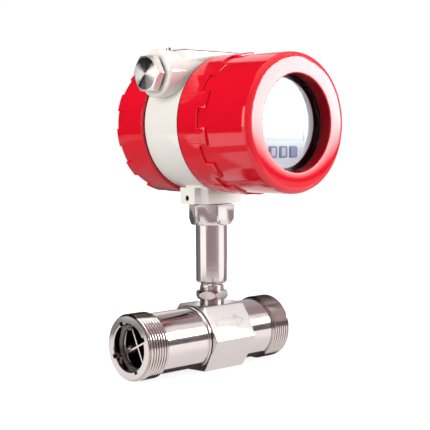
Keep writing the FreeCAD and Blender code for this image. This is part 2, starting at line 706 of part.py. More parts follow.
def uprights(block):
    """The block's edges that run along Z."""
    return [edge for edge in block.Edges
            if abs(edge.Vertexes[0].Z - edge.Vertexes[1].Z) > CUT_MARGIN]


def boss_blank():
    """Both conduit bosses in one bar, rounded at its ends."""
    start = Vector(-BOSS_SPAN / 2, 0, CONDUIT_Z)
    bar = rod(X, start, BOSS_SPAN, BOSS_DIAMETER / 2)
    ends = [edge for edge in bar.Edges if isinstance(edge.Curve, Part.Circle)]
    return bar.makeFillet(BOSS_EDGE, ends)


def make_head_housing():
    drum = rod(Y, HEAD - Y * SHOULDER, BODY_WIDTH, BODY_RADIUS)
    collar_half = SHOULDER + COLLAR_LENGTH
    collars = rod(Y, HEAD - Y * collar_half, 2 * collar_half, COLLAR_RADIUS)
    slab_height = SLAB_TOP - BOSS_RISE / 2
    slab = eased_box(HEAD + Z * (SLAB_TOP - slab_height / 2), SLAB_X, SLAB_Y, slab_height)
    blank = fuse([drum, collars, slab, boss_blank()] + neck_blank())
    front_floor = HEAD - Y * BULKHEAD_FRONT
    rear_floor = front_floor + Y * BULKHEAD_THICKNESS
    cuts = [rod(FRONT, front_floor, collar_half, CHAMBER_RADIUS),
            rod(Y, rear_floor, collar_half + BULKHEAD_FRONT, CHAMBER_RADIUS)]
    for away in (X, X * -1):
        start = Vector(0, 0, CONDUIT_Z) + away * (BOSS_SPAN / 2 - CONDUIT_DEPTH)
        cuts.append(rod(away, start, CONDUIT_DEPTH + CUT_MARGIN, CONDUIT_THREAD / 2))
    cuts += neck_cuts()
    lead_hole = HEAD - Z * LEAD_HOLE_DROP - Y * (BULKHEAD_FRONT + CUT_MARGIN)
    cuts.append(rod(Y, lead_hole, BULKHEAD_THICKNESS + 2 * CUT_MARGIN, LEAD_HOLE / 2))
    cuts.append(rod(Z, earth_place() - Z * EARTH_HOLE, EARTH_HOLE + CUT_MARGIN,
                    EARTH_SCREW / 2 + THREAD_FIT))
    return blank.cut(cuts)


def neck_cuts():
    """The spigot's seat, the lead passage above it and the set screw's hole."""
    seat = rod(Z, Vector(0, 0, NECK_Z - CUT_MARGIN), SPIGOT_LENGTH + 2 * CUT_MARGIN,
               TENON_DIAMETER / 2 + THREAD_FIT)
    passage = rod(Z, Vector(0, 0, NECK_Z), NECK_DROP - CHAMBER_RADIUS + LEAD_PASSAGE_RISE,
                  NUT_PASSAGE / 2)
    pad_hole = rod(X, Vector(-PAD_SPAN / 2 - CUT_MARGIN, 0, NECK_Z + SET_SCREW_RISE),
                   PAD_SPAN / 2 + CUT_MARGIN, SET_SCREW_DIAMETER / 2 + THREAD_FIT)
    return [seat, passage, pad_hole]


def make_set_screw():
    """A socket set screw whose tip stands in the spigot's groove."""
    tip = TENON_DIAMETER / 2 - SPIGOT_GROOVE + SET_SCREW_ENTRY
    start = Vector(-tip, 0, NECK_Z + SET_SCREW_RISE)
    radius = SET_SCREW_DIAMETER / 2
    profile = [(0, 0), (0, radius - SET_SCREW_EDGE), (SET_SCREW_EDGE, radius),
               (SET_SCREW_LENGTH, radius), (SET_SCREW_LENGTH, 0)]
    screw = turned(X * -1, start, profile)
    socket_floor = start - X * (SET_SCREW_LENGTH - SET_SCREW_SOCKET_DEPTH)
    socket = hexagon(X * -1, socket_floor, SET_SCREW_SOCKET_DEPTH + CUT_MARGIN,
                     SET_SCREW_SOCKET, Z)
    return screw.cut(socket)


def earth_place():
    return Vector(EARTH_INSET - SLAB_X / 2, EARTH_BACK, HEAD_Z + SLAB_TOP)


def slotted_head(axis, start, height, diameter):
    """A cheese head with a screwdriver slot across it."""
    head = rod(axis, start, height, diameter / 2)
    slot = box_about(start + axis * height, *slot_size(axis, diameter))
    return head.cut(slot)


def slot_size(axis, diameter):
    if abs(axis.z) > 0.5:
        return diameter + CUT_MARGIN, SLOT_CUT, SLOT_CUT * 2
    return diameter + CUT_MARGIN, SLOT_CUT * 2, SLOT_CUT


def make_earth_screw():
    under_head = earth_place() + Z * EARTH_WASHER_THICKNESS
    head = slotted_head(Z, under_head, EARTH_HEAD_HEIGHT, EARTH_HEAD)
    shank = rod(Z, under_head - Z * EARTH_SHANK, EARTH_SHANK, EARTH_SCREW / 2)
    return fuse([head, shank])


def make_earth_washer():
    return tube(Z, earth_place(), EARTH_WASHER_THICKNESS, EARTH_WASHER / 2,
                EARTH_SCREW / 2 + THREAD_FIT)


# ---- conduit fittings ---------------------------------------------------------------------
def fitting_shank(away, passage):
    """The threaded shank of a fitting, from its seal into the boss."""
    start = Vector(0, 0, CONDUIT_Z) + away * (FITTING_X - FITTING_SEAL - PLUG_SHANK)
    outer = CONDUIT_THREAD / 2 - THREAD_FIT
    length = PLUG_SHANK + FITTING_SEAL
    if passage:
        return tube(away, start, length, outer, passage / 2)
    return rod(away, start, length, outer)


def make_fitting_seal(away):
    start = Vector(0, 0, CONDUIT_Z) + away * (BOSS_SPAN / 2)
    return tube(away, start, FITTING_SEAL, FITTING_SEAL_OD / 2, CONDUIT_THREAD / 2)


def make_conduit_plug():
    away = X * -1
    start = Vector(-FITTING_X, 0, CONDUIT_Z)
    head = turned_hexagon(away, start, PLUG_HEAD, PLUG_AF, Y, SHARP_END, PLUG_CHAMFER,
                          PLUG_FACE_INSET)
    return fuse([head, fitting_shank(away, 0)])


def make_gland_body():
    start = Vector(FITTING_X, 0, CONDUIT_Z)
    base = turned_hexagon(X, start, GLAND_HEX, GLAND_AF, Y, GLAND_EDGE, GLAND_EDGE)
    neck = rod(X, start + X * GLAND_HEX, GLAND_NECK, GLAND_THREAD / 2)
    solid = fuse([base, neck, fitting_shank(X, 0)])
    shank_end = start - X * (PLUG_SHANK + FITTING_SEAL + CUT_MARGIN)
    through = rod(X, shank_end, HEAD_Z, GLAND_PASSAGE / 2)
    pocket = rod(X, gland_seat(), HEAD_Z, GLAND_INSERT_OD / 2)
    return solid.cut([through, pocket])


def gland_seat():
    """The place where the insert rests in the gland's body."""
    return Vector(FITTING_X + GLAND_HEX - GLAND_INSERT_SINK, 0, CONDUIT_Z)


def make_gland_insert():
    """The rubber sleeve that grips the cable."""
    return tube(X, gland_seat(), GLAND_INSERT_LENGTH, GLAND_INSERT_OD / 2 - THREAD_FIT,
                GLAND_CABLE / 2)


def make_gland_cap():
    """The domed compression nut."""
    start = Vector(FITTING_X + GLAND_HEX + GLAND_CAP_GAP, 0, CONDUIT_Z)
    nut = turned_hexagon(X, start, GLAND_GRIP, GLAND_CAP_AF, Y, GLAND_EDGE, GLAND_GRIP_EDGE)
    dome = turned(X, start, [(GLAND_GRIP - GLAND_GRIP_EDGE, 0),
                             (GLAND_GRIP - GLAND_GRIP_EDGE, GLAND_DOME / 2),
                             (GLAND_GRIP, GLAND_DOME / 2),
                             (GLAND_CAP - GLAND_CROWN_DROP, GLAND_CROWN / 2),
                             (GLAND_CAP, GLAND_NOSE / 2), (GLAND_CAP, 0)])
    well = rod(X, start - X * CUT_MARGIN, GLAND_CAP_WELL + CUT_MARGIN,
               GLAND_THREAD / 2 + THREAD_FIT)
    nose = rod(X, start, GLAND_CAP + CUT_MARGIN, GLAND_CABLE / 2 + GLAND_CABLE_GAP)
    return fuse([nut, dome]).cut([well, nose])


# ---- covers -------------------------------------------------------------------------------
def cover_lugs(facing):
    """The castellated grip: raised lugs that run forward from the rim."""
    base = LUG_ROOT - CUT_MARGIN
    inner = FRONT_RADIUS - CUT_MARGIN
    profile = [(base, inner), (LUG_TIP, inner), (LUG_TIP, RIM_RADIUS), (base, RIM_RADIUS)]
    side = FreeCAD.Rotation(FRONT, LUG_START).multVec(X)
    lug = turned(facing, HEAD, profile, side, LUG_ANGLE, FRONT)
    return around(LUG_COUNT, lug, HEAD, FRONT)


def cover_shell(facing, face_at, cavity_at):
    """The outside of a screwed cover and its bore, up to the inside of its end wall."""
    outer = turned(facing, HEAD, [(RIM_START, 0), (RIM_START, RIM_RADIUS), (LUG_ROOT, RIM_RADIUS),
                                  (LUG_ROOT, FRONT_RADIUS), (face_at, FRONT_RADIUS),
                                  (face_at, 0)])
    outer = round_circles(outer, COVER_EDGE, facing, HEAD, face_at, FRONT_RADIUS)
    mouth = RIM_START - CUT_MARGIN
    thread_end = SHOULDER + COLLAR_LENGTH + COVER_THREAD_SPARE
    inner = FRONT_RADIUS - COVER_WALL
    cavity = turned(facing, HEAD, [(mouth, 0), (mouth, COVER_BORE), (thread_end, COVER_BORE),
                                   (thread_end + COVER_RUNOUT, inner), (cavity_at, inner),
                                   (cavity_at, 0)])
    return fuse([outer] + cover_lugs(facing)).cut(cavity)


def make_front_cover():
    seat = FRONT_FACE - WINDOW_LIP
    back = GLASS_BACK - GLASS_RING_THICKNESS
    shell = cover_shell(FRONT, FRONT_FACE, back)
    seat_bore = rod(FRONT, HEAD + FRONT * (back - CUT_MARGIN), seat - back + CUT_MARGIN,
                    GLASS_RADIUS + GLASS_CLEARANCE)
    opening = rod(FRONT, HEAD + FRONT * back, FRONT_FACE, WINDOW_RADIUS)
    shell = shell.cut([seat_bore, opening])
    return round_circles(shell, WINDOW_EDGE, FRONT, HEAD, FRONT_FACE, WINDOW_RADIUS)


def make_rear_cover():
    return cover_shell(Y, REAR_FACE, REAR_FACE - REAR_FLOOR)


def make_cover_seal(facing):
    start = HEAD + facing * (SHOULDER + SEAL_CLEARANCE)
    return tube(facing, start, SEAL_THICKNESS, BODY_RADIUS, COVER_BORE)


def make_window_gasket():
    start = HEAD + FRONT * GLASS_FRONT
    return tube(FRONT, start, WINDOW_GASKET, GLASS_RADIUS, WINDOW_RADIUS)


def make_window_glass():
    return rod(FRONT, HEAD + FRONT * GLASS_BACK, GLASS_THICKNESS, GLASS_RADIUS)


def make_window_ring():
    """The threaded ring that holds the glass, with slots for a pin spanner."""
    start = HEAD + FRONT * (GLASS_BACK - GLASS_RING_THICKNESS)
    outer = GLASS_RADIUS + GLASS_CLEARANCE / 2
    ring = tube(FRONT, start, GLASS_RING_THICKNESS, outer, outer - GLASS_RING_WALL)
    slots = []
    for side in (-1, 1):
        centre = start + X * (side * (outer - GLASS_RING_WALL / 2))
        slots.append(box_about(centre, 2 * GLASS_RING_WALL, 2 * SPANNER_SLOT_DEPTH,
                               SPANNER_SLOT))
    return ring.cut(slots)


# ---- electronics --------------------------------------------------------------------------
def standoff_places():
    """The standoffs' axes, as offsets from the head axis."""
    places = []
    for index in range(STANDOFF_COUNT):
        angle = math.radians(45 + 360.0 * index / STANDOFF_COUNT)
        places.append(Vector(math.cos(angle), 0, math.sin(angle)) * STANDOFF_RADIUS)
    return places


def make_main_standoffs():
    start = HEAD + FRONT * BULKHEAD_FRONT
    return Part.makeCompound([hexagon(FRONT, start + place, MAIN_STANDOFF, STANDOFF_AF, X)
                              for place in standoff_places()])


def make_main_board():
    start = HEAD + FRONT * MAIN_BOARD_BACK
    board = rod(FRONT, start, BOARD_THICKNESS, MAIN_BOARD_RADIUS)
    top = start + FRONT * BOARD_THICKNESS
    sunk = BOARD_THICKNESS / 4
    chips = []
    for place, height, width in ((0.0, CHIP_THICKNESS, CHIP_SIZE),
                                 (CHIP_SPREAD, CAPACITOR_HEIGHT, CAPACITOR_WIDTH),
                                 (-CHIP_SPREAD, CHIP_THICKNESS, CAPACITOR_WIDTH)):
        centre = top + FRONT * (height / 2 - sunk) + X * place
        chips.append(box_about(centre, width, height, CHIP_SIZE))
    return fuse([board] + chips)


def make_display_standoffs():
    start = HEAD + FRONT * (MAIN_BOARD_BACK + BOARD_THICKNESS)
    length = DISPLAY_BOARD_BACK - MAIN_BOARD_BACK - BOARD_THICKNESS
    return Part.makeCompound([hexagon(FRONT, start + place, length, STANDOFF_AF, X)
                              for place in standoff_places()])


def make_display_board():
    start = HEAD + FRONT * DISPLAY_BOARD_BACK
    board = rod(FRONT, start, BOARD_THICKNESS, DISPLAY_BOARD_RADIUS)
    top = start + FRONT * BOARD_THICKNESS
    switches = []
    for column in (-1, 0, 1):
        centre = top + X * (column * KEY_PITCH) - Z * KEY_DROP
        switches.append(box_about(centre, SWITCH_SIZE, SWITCH_HEIGHT, SWITCH_SIZE))
    holes = [rod(FRONT, start + place - FRONT * CUT_MARGIN, BOARD_THICKNESS + 2 * CUT_MARGIN,
                 SCREW_SHANK / 2 + SCREW_CLEARANCE) for place in standoff_places()]
    return fuse([board] + switches).cut(holes)


def make_display_screws():
    top = HEAD + FRONT * (DISPLAY_BOARD_BACK + BOARD_THICKNESS)
    screws = []
    for place in standoff_places():
        head = slotted_head(FRONT, top + place, SCREW_HEAD_HEIGHT, SCREW_HEAD)
        shank = rod(FRONT, top + place - FRONT * BOARD_THICKNESS, BOARD_THICKNESS,
                    SCREW_SHANK / 2)
        screws.append(fuse([head, shank]))
    return Part.makeCompound(screws)


def lcd_centre():
    back = DISPLAY_BOARD_BACK + BOARD_THICKNESS
    return HEAD + FRONT * (back + LCD_DEPTH / 2) + Z * (LCD_HEIGHT / 2 - LCD_DROP)


def make_lcd_module():
    """The display cell in its frame."""
    frame = box_about(lcd_centre(), LCD_WIDTH + 2 * LCD_FRAME, LCD_DEPTH,
                      LCD_HEIGHT + 2 * LCD_FRAME)
    window = box_about(lcd_centre() + FRONT * (LCD_DEPTH / 2), LCD_WIDTH, 2 * LCD_SINK,
                       LCD_HEIGHT)
    return frame.cut(window)


def make_display_face():
    """The round face plate, open over the display and round each key, on a skirt."""
    back = DISPLAY_FACE - FACE_THICKNESS
    plate = rod(FRONT, HEAD + FRONT * back, FACE_THICKNESS, FACE_RADIUS)
    skirt_start = DISPLAY_BOARD_BACK + BOARD_THICKNESS
    skirt = tube(FRONT, HEAD + FRONT * skirt_start, back - skirt_start, FACE_RADIUS,
                 FACE_RADIUS - FACE_SKIRT_WALL)
    border = 2 * (LCD_FRAME + LCD_CLEARANCE)
    recess = box_about(lcd_centre(), LCD_WIDTH + border, LCD_DEPTH + 2 * MATCH,
                       LCD_HEIGHT + border)
    window = box_about(lcd_centre() + FRONT * LCD_DEPTH, LCD_WIDTH,
                       LCD_DEPTH + 2 * FACE_THICKNESS + CUT_MARGIN, LCD_HEIGHT)
    cuts = [recess, window]
    for column in (-1, 0, 1):
        centre = HEAD + FRONT * DISPLAY_FACE + X * (column * KEY_PITCH) - Z * KEY_DROP
        cuts.append(box_about(centre, KEY_WIDTH + 2 * KEY_CLEARANCE, 4 * FACE_THICKNESS,
                              KEY_HEIGHT + 2 * KEY_CLEARANCE))
    return fuse([plate, skirt]).cut(cuts)


def make_key(column):
    """A key: its cap stands through the face plate, its flange stops behind it."""
    base = HEAD + X * (column * KEY_PITCH) - Z * KEY_DROP
    plate_back = DISPLAY_FACE - FACE_THICKNESS
    top = DISPLAY_FACE + KEY_PROUD
    switch_top = DISPLAY_BOARD_BACK + BOARD_THICKNESS + SWITCH_HEIGHT / 2
    bottom = switch_top + KEY_TRAVEL + KEY_SWITCH_GAP
    cap = box_about(base + FRONT * ((top + bottom) / 2), KEY_WIDTH, top - bottom, KEY_HEIGHT)
    corners = [edge for edge in cap.Edges
               if abs(edge.Vertexes[0].Y - edge.Vertexes[1].Y) > MATCH]
    cap = cap.makeFillet(KEY_CORNER, corners)
    flange_middle = base + FRONT * (plate_back - KEY_STOP_GAP - KEY_FLANGE / 2)
    flange = box_about(flange_middle, KEY_WIDTH + 2 * KEY_FLANGE_WIDTH, KEY_FLANGE,
                       KEY_HEIGHT + 2 * KEY_FLANGE_WIDTH)
    return fuse([cap, flange])


def terminal_corners():
    """The terminal board's fixing points, as offsets from the board's middle."""
    half_x = TERMINAL_BOARD_X / 2 - TERMINAL_INSET
    half_z = TERMINAL_BOARD_Z / 2 - TERMINAL_INSET
    return [Vector(x, 0, z) for x in (-half_x, half_x) for z in (-half_z, half_z)]


def terminal_middle(depth):
    return HEAD + Y * depth - Z * TERMINAL_BOARD_DROP


def make_terminal_standoffs():
    start = terminal_middle(TERMINAL_BOARD_Y - TERMINAL_STANDOFF)
    return Part.makeCompound([hexagon(Y, start + place, TERMINAL_STANDOFF, STANDOFF_AF, X)
                              for place in terminal_corners()])


def make_terminal_board():
    middle = terminal_middle(TERMINAL_BOARD_Y + BOARD_THICKNESS / 2)
    board = box_about(middle, TERMINAL_BOARD_X, BOARD_THICKNESS, TERMINAL_BOARD_Z)
    holes = [rod(Y, middle + place - Y * BOARD_THICKNESS, 2 * BOARD_THICKNESS,
                 SCREW_SHANK / 2 + SCREW_CLEARANCE) for place in terminal_corners()]
    return board.cut(holes)


def make_terminal_board_screws():
    top = terminal_middle(TERMINAL_BOARD_Y + BOARD_THICKNESS)
    screws = []
    for place in terminal_corners():
        head = slotted_head(Y, top + place, SCREW_HEAD_HEIGHT, SCREW_HEAD)
        shank = rod(Y, top + place - Y * BOARD_THICKNESS, BOARD_THICKNESS, SCREW_SHANK / 2)
        screws.append(fuse([head, shank]))
    return Part.makeCompound(screws)


def terminal_ways():
    """The terminals' places along the block, as offsets from its middle."""
    first = -(TERMINAL_WAYS - 1) / 2
    return [X * ((first + index) * TERMINAL_PITCH) for index in range(TERMINAL_WAYS)]


def make_terminal_block():
    """A screw terminal block with a screw well and a wire mouth for each way."""
    middle = terminal_middle(TERMINAL_BOARD_Y + BOARD_THICKNESS + TERMINAL_DEPTH / 2)
    block = box_about(middle, TERMINAL_WAYS * TERMINAL_PITCH, TERMINAL_DEPTH, TERMINAL_HEIGHT)
    cuts = []
    for place in terminal_ways():
        well = middle + place + Z * TERMINAL_WELL_RISE
        well -= Y * (TERMINAL_DEPTH / 2 - TERMINAL_SCREW_HEIGHT)
        cuts.append(rod(Y, well, TERMINAL_DEPTH, TERMINAL_SCREW / 2 + TERMINAL_WELL_CLEARANCE))
        mouth = middle + place - Z * (TERMINAL_HEIGHT / 2)
        cuts.append(box_about(mouth, TERMINAL_MOUTH, TERMINAL_MOUTH, TERMINAL_HEIGHT / 2))
    return block.cut(cuts)


def make_terminal_screws():
    base = terminal_middle(TERMINAL_BOARD_Y + BOARD_THICKNESS + TERMINAL_SCREW_HEIGHT)
    base += Z * TERMINAL_WELL_RISE
    return Part.makeCompound([slotted_head(Y, base + place, TERMINAL_SCREW_HEIGHT, TERMINAL_SCREW)
                              for place in terminal_ways()])


# ---- every piece, one file each ------------------------------------------------------------
def build_all():
    os.makedirs("parts", exist_ok=True)
    upstream = X * -1
    save("meter_body", make_meter_body())
    save("inlet_guide", make_guide(INLET_LENGTH, upstream))
    save("outlet_guide", make_guide(OUTLET_LENGTH, X))
    save("inlet_snap_ring", make_snap_ring(INLET_LENGTH, upstream))
    save("outlet_snap_ring", make_snap_ring(OUTLET_LENGTH, X))
    save("inlet_bush", make_bush(upstream))
    save("outlet_bush", make_bush(X))
    save("inlet_thrust_pad", make_thrust_pad(upstream))
    save("outlet_thrust_pad", make_thrust_pad(X))
    save("rotor", make_rotor())
    save("rotor_shaft", make_rotor_shaft())
    save("pickup_housing", make_pickup_housing())
    save("pickup_coil", make_pickup_coil())
    save("pickup_pole_piece", make_pole_piece())
    save("pickup_magnet", make_pickup_magnet())
    save("preamplifier_board", make_stem_board())
    save("pickup_lock_nut", make_lock_nut())
    save("coupling_nut", make_coupling_nut())
    save("neck_seal", make_neck_seal())
    save("head_housing", make_head_housing())
    save("neck_set_screw", make_set_screw())
    save("earth_screw", make_earth_screw())
    save("earth_washer", make_earth_washer())
    save("conduit_plug", make_conduit_plug())
    save("conduit_plug_seal", make_fitting_seal(upstream))
    save("gland_body", make_gland_body())
    save("gland_seal", make_fitting_seal(X))
    save("gland_insert", make_gland_insert())
    save("gland_cap", make_gland_cap())
    save("front_cover", make_front_cover())
    save("front_cover_seal", make_cover_seal(FRONT))
    save("window_gasket", make_window_gasket())
    save("window_glass", make_window_glass())
    save("window_ring", make_window_ring())
    save("rear_cover", make_rear_cover())
    save("rear_cover_seal", make_cover_seal(Y))
    save("main_board_standoffs", make_main_standoffs())
    save("main_board", make_main_board())
    save("display_standoffs", make_display_standoffs())
    save("display_board", make_display_board())
    save("display_screws", make_display_screws())
    save("lcd_module", make_lcd_module())
    save("display_face", make_display_face())
    save("key_left", make_key(-1))
    save("key_middle", make_key(0))
    save("key_right", make_key(1))
    save("terminal_standoffs", make_terminal_standoffs())
    save("terminal_board", make_terminal_board())
    save("terminal_board_screws", make_terminal_board_screws())
    save("terminal_block", make_terminal_block())
    save("terminal_screws", make_terminal_screws())


build_all()
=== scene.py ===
import json
import math

import bmesh
import bpy
from mathutils import Matrix, Vector


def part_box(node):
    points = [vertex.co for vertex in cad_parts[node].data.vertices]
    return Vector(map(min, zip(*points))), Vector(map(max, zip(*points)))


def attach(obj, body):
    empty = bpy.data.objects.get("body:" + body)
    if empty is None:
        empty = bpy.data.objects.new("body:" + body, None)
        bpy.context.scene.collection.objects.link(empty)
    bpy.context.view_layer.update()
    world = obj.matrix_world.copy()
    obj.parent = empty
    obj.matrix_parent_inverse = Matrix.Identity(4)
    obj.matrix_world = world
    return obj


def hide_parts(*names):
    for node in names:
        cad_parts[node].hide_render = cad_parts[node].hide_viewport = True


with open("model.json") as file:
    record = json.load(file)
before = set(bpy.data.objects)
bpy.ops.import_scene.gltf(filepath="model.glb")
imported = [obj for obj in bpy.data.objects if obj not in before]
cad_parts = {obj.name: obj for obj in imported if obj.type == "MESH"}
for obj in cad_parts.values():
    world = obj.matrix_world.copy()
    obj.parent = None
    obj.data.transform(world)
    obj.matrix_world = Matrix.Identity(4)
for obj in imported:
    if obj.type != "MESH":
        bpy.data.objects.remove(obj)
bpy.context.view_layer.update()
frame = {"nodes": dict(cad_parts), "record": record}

# A turbine flow meter in metres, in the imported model's frame: flow along +X, display facing
# -Y, +Z up.  Round parts are turned from outlines of (distance along the axis, radius), both
# in millimetres, and set in place by a matrix.

MM = 0.001
X = Vector((1, 0, 0))
Y = Vector((0, 1, 0))
Z = Vector((0, 0, 1))

# ---- places read from the frame ---------------------------------------------------------------


def low_of(node):
    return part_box(node)[0] / MM


def high_of(node):
    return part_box(node)[1] / MM


INLET_FACE = low_of("meter_body").x
OUTLET_FACE = high_of("meter_body").x
HEX_TOP = high_of("meter_body").z
HEX_AF = HEX_TOP - low_of("meter_body").z
PIPE_Z = HEX_TOP - HEX_AF / 2
FOOT_Z = low_of("pickup_housing").z
TUBE_RADIUS = high_of("pickup_housing").x
TENON_TOP = high_of("pickup_housing").z
LOCK_NUT_Z = low_of("pickup_lock_nut").z
LOCK_NUT_TOP = high_of("pickup_lock_nut").z
LOCK_NUT_AF = 2 * high_of("pickup_lock_nut").y
SET_SCREW_Z = (low_of("neck_set_screw").z + high_of("neck_set_screw").z) / 2
SET_SCREW_END = low_of("neck_set_screw").x
KEY_X = [(low_of(node).x + high_of(node).x) / 2 for node in ("key_left", "key_middle", "key_right")]
KEY_Z = (low_of("key_middle").z + high_of("key_middle").z) / 2
NUT_Z = low_of("coupling_nut").z
SPIGOT_TOP = high_of("coupling_nut").z
NUT_TOP = low_of("neck_seal").z
NECK_Z = low_of("head_housing").z
HEAD_Z = (low_of("rear_cover").z + high_of("rear_cover").z) / 2
RIM_RADIUS = high_of("rear_cover").x
RIM_START = low_of("rear_cover").y
REAR_FACE = high_of("rear_cover").y
FRONT_FACE = -low_of("front_cover").y
COLLAR_END = high_of("head_housing").y
BOSS_END = high_of("head_housing").x
SLAB_TOP = high_of("head_housing").z - HEAD_Z
CONDUIT_Z = (low_of("conduit_plug").z + high_of("conduit_plug").z) / 2
GLASS_FRONT = -low_of("window_glass").y
GLASS_BACK = -high_of("window_glass").y
GLASS_RADIUS = high_of("window_glass").x
GASKET_FRONT = -low_of("window_gasket").y

# ---- sizes that only the finish needs ---------------------------------------------------------
SEGMENTS = 192
FINE = 96
THREAD_RADIUS = 23.9
THREAD_LENGTH = 18.5
THREAD_PITCH = 2.309
THREAD_DEPTH = 1.35
THREAD_STEPS = 9            # rings of points in one pitch
THREAD_CHAMFER = 1.4
PIPE_RADIUS = 22.1
COLLAR_RADIUS = 23.4
HEX_INLET = -21.0
HEX_OUTLET = 19.0
SEAT_RADIUS = 17.0
BORE_RADIUS = 16.0
SEAT_SHOULDER = 20.0
SLOT_COUNT = 4
SLOT_ANGLE = 26.0
SLOT_WIDTH = 3.4
SLOT_DEPTH = 2.4
SLOT_LENGTH = 14.0
CLIP_DEPTH = 7.0
CLIP_WIDTH = 1.2
CLIP_GROOVE = 0.8
STEM_THREAD = 9.1
STEM_PITCH = 1.0
STEM_THREAD_DEPTH = 0.3
LOCK_NUT_CHAMFER = 2.2
NUT_AF = 30.0
NUT_CHAMFER = 5.4
NUT_TURN = 4.0
BODY_RADIUS = 48.0
SHOULDER = 18.5
COVER_RADIUS = RIM_RADIUS - 1.5
LUG_COUNT = 12
LUG_ANGLE = 15.0
LUG_START = 123.0
LUG_ROOT = 40.0
LUG_TIP = 48.0
WINDOW_RADIUS = 34.0
LIP = 8.0
LIP_BEAD = GLASS_FRONT + 1.0   # the lip's bead hides most of the gasket
BEAD_RADIUS = WINDOW_RADIUS + 1.5
COVER_BORE = BODY_RADIUS - 2.3
COVER_THREAD = 35.0
FILL_LEVEL = 0.50
FLOOR_LEVEL = 0.84
FLAG_STEPS = 24
FACING_PITCH = 0.5


# ---- mesh building ----------------------------------------------------------------------------
def placed(origin, along, side):
    """A matrix that sets a part's own Z along one direction and its own X along another."""
    turn = Matrix((side, along.cross(side), along)).transposed().to_4x4()
    return Matrix.Translation(Vector(origin) * MM) @ turn


PIPE = placed((0, 0, PIPE_Z), X, -Y)
STEM = placed((0, 0, 0), Z, X)
FRONT = placed((0, 0, HEAD_Z), -Y, X)
REAR = placed((0, 0, HEAD_Z), Y, X)
LEFT = placed((0, 0, CONDUIT_Z), -X, Z)
RIGHT = placed((0, 0, CONDUIT_Z), X, Z)


def as_object(name, mesh):
    thing = bpy.data.objects.new(name, mesh)
    bpy.context.scene.collection.objects.link(thing)
    return thing


def rounded(points, steps=4):
    """An outline whose corners are rounded; a corner's third number is the length it takes."""
    result = []
    for index, point in enumerate(points):
        here = Vector(point[:2])
        if len(point) < 3:
            result.append(tuple(here))
            continue
        before = Vector(points[index - 1][:2])
        after = Vector(points[(index + 1) % len(points)][:2])
        start = here + (before - here).normalized() * point[2]
        end = here + (after - here).normalized() * point[2]
        for step in range(steps + 1):
            share = step / steps
            bend = start.lerp(here, share).lerp(here.lerp(end, share), share)
            result.append(tuple(bend))
    return result


def turned(name, outline, place, segments=SEGMENTS, radius_at=None):
    """Turn an outline.  Ends on the axis close in a point, any other outline is a ring."""
    bm = bmesh.new()
    poles = outline[0][1] == 0
    rings = []
    for along, radius in outline:
        if radius == 0:
            rings.append([bm.verts.new((0, 0, along * MM))])
            continue
        ring = []
        for index in range(segments):
            angle = math.tau * index / segments
            reach = radius_at(along, radius, angle) if radius_at else radius
            ring.append(bm.verts.new((reach * math.cos(angle) * MM,
                                      reach * math.sin(angle) * MM, along * MM)))
        rings.append(ring)
    pairs = list(zip(rings, rings[1:]))
    if not poles:
        pairs.append((rings[-1], rings[0]))
    for first, second in pairs:
        join_rings(bm, first, second)
    return from_bmesh(name, bm, place)


def from_bmesh(name, bm, place):
    """Make an object of a finished bmesh and set it in place."""
    bmesh.ops.recalc_face_normals(bm, faces=bm.faces)
    mesh = bpy.data.meshes.new(name)
    bm.to_mesh(mesh)
    bm.free()
    mesh.transform(place)
    return as_object(name, mesh)


def rod(name, place, steps, end, segments=FINE):
    """A round rod of one or more steps, each given by where it starts and its radius."""
    outline = [(steps[0][0], 0)]
    stops = [start for start, radius in steps[1:]] + [end]
    for (start, radius), stop in zip(steps, stops):
        outline += [(start, radius), (stop, radius)]
    return turned(name, outline + [(end, 0)], place, segments)


def join_rings(bm, first, second):
    count = max(len(first), len(second))
    for index in range(count):
        after = (index + 1) % count
        if len(first) == 1:
            bm.faces.new((first[0], second[index], second[after]))
        elif len(second) == 1:
            bm.faces.new((first[index], second[0], first[after]))
        else:
            bm.faces.new((first[index], second[index], second[after], first[after]))


def prism(name, corners, low, high, place):
    """A straight bar over a plan of (x, y) corners in millimetres."""
    bm = bmesh.new()
    floor = [bm.verts.new((x * MM, y * MM, low * MM)) for x, y in corners]
    roof = [bm.verts.new((x * MM, y * MM, high * MM)) for x, y in corners]
    count = len(corners)
    for index in range(count):
        after = (index + 1) % count
        bm.faces.new((floor[index], floor[after], roof[after], roof[index]))
    bm.faces.new(reversed(floor))
    bm.faces.new(roof)
    return from_bmesh(name, bm, place)


def hexagon_plan(across_flats, corner=0.5, turn=0.0):
    reach = across_flats / math.sqrt(3)
    points = []
    for index in range(6):
        angle = math.radians(60 * index + turn)
        points.append((reach * math.cos(angle), reach * math.sin(angle), corner))
    return rounded(points, 3)


def box_plan(size_x, size_y, corner=0.0, centre=(0, 0)):
    points = [(-0.5, -0.5), (0.5, -0.5), (0.5, 0.5), (-0.5, 0.5)]
    plan = [(x * size_x + centre[0], y * size_y + centre[1]) for x, y in points]
    if corner:
        plan = rounded([(x, y, corner) for x, y in plan])
    return plan


def evaluated_mesh(thing):
    """Replace an object's mesh by what its modifiers make, and drop the modifiers."""
    graph = bpy.context.evaluated_depsgraph_get()
    mesh = bpy.data.meshes.new_from_object(thing.evaluated_get(graph))
    thing.modifiers.clear()
    thing.data = mesh
    return thing


def combine(target, tools, operation, solver="EXACT"):
    """Join, cut or intersect an object with others, which are used up."""
    for tool in tools:
        change = target.modifiers.new(operation, "BOOLEAN")
        change.operation = operation
        change.solver = solver
        change.object = tool
        evaluated_mesh(target)
        bpy.data.objects.remove(tool)
    return target


def feed(tree, socket, value):
    """Link another node's output to a socket, or give the socket a plain value."""
    if isinstance(value, bpy.types.NodeSocket):
        tree.links.new(value, socket)
    else:
        socket.default_value = value


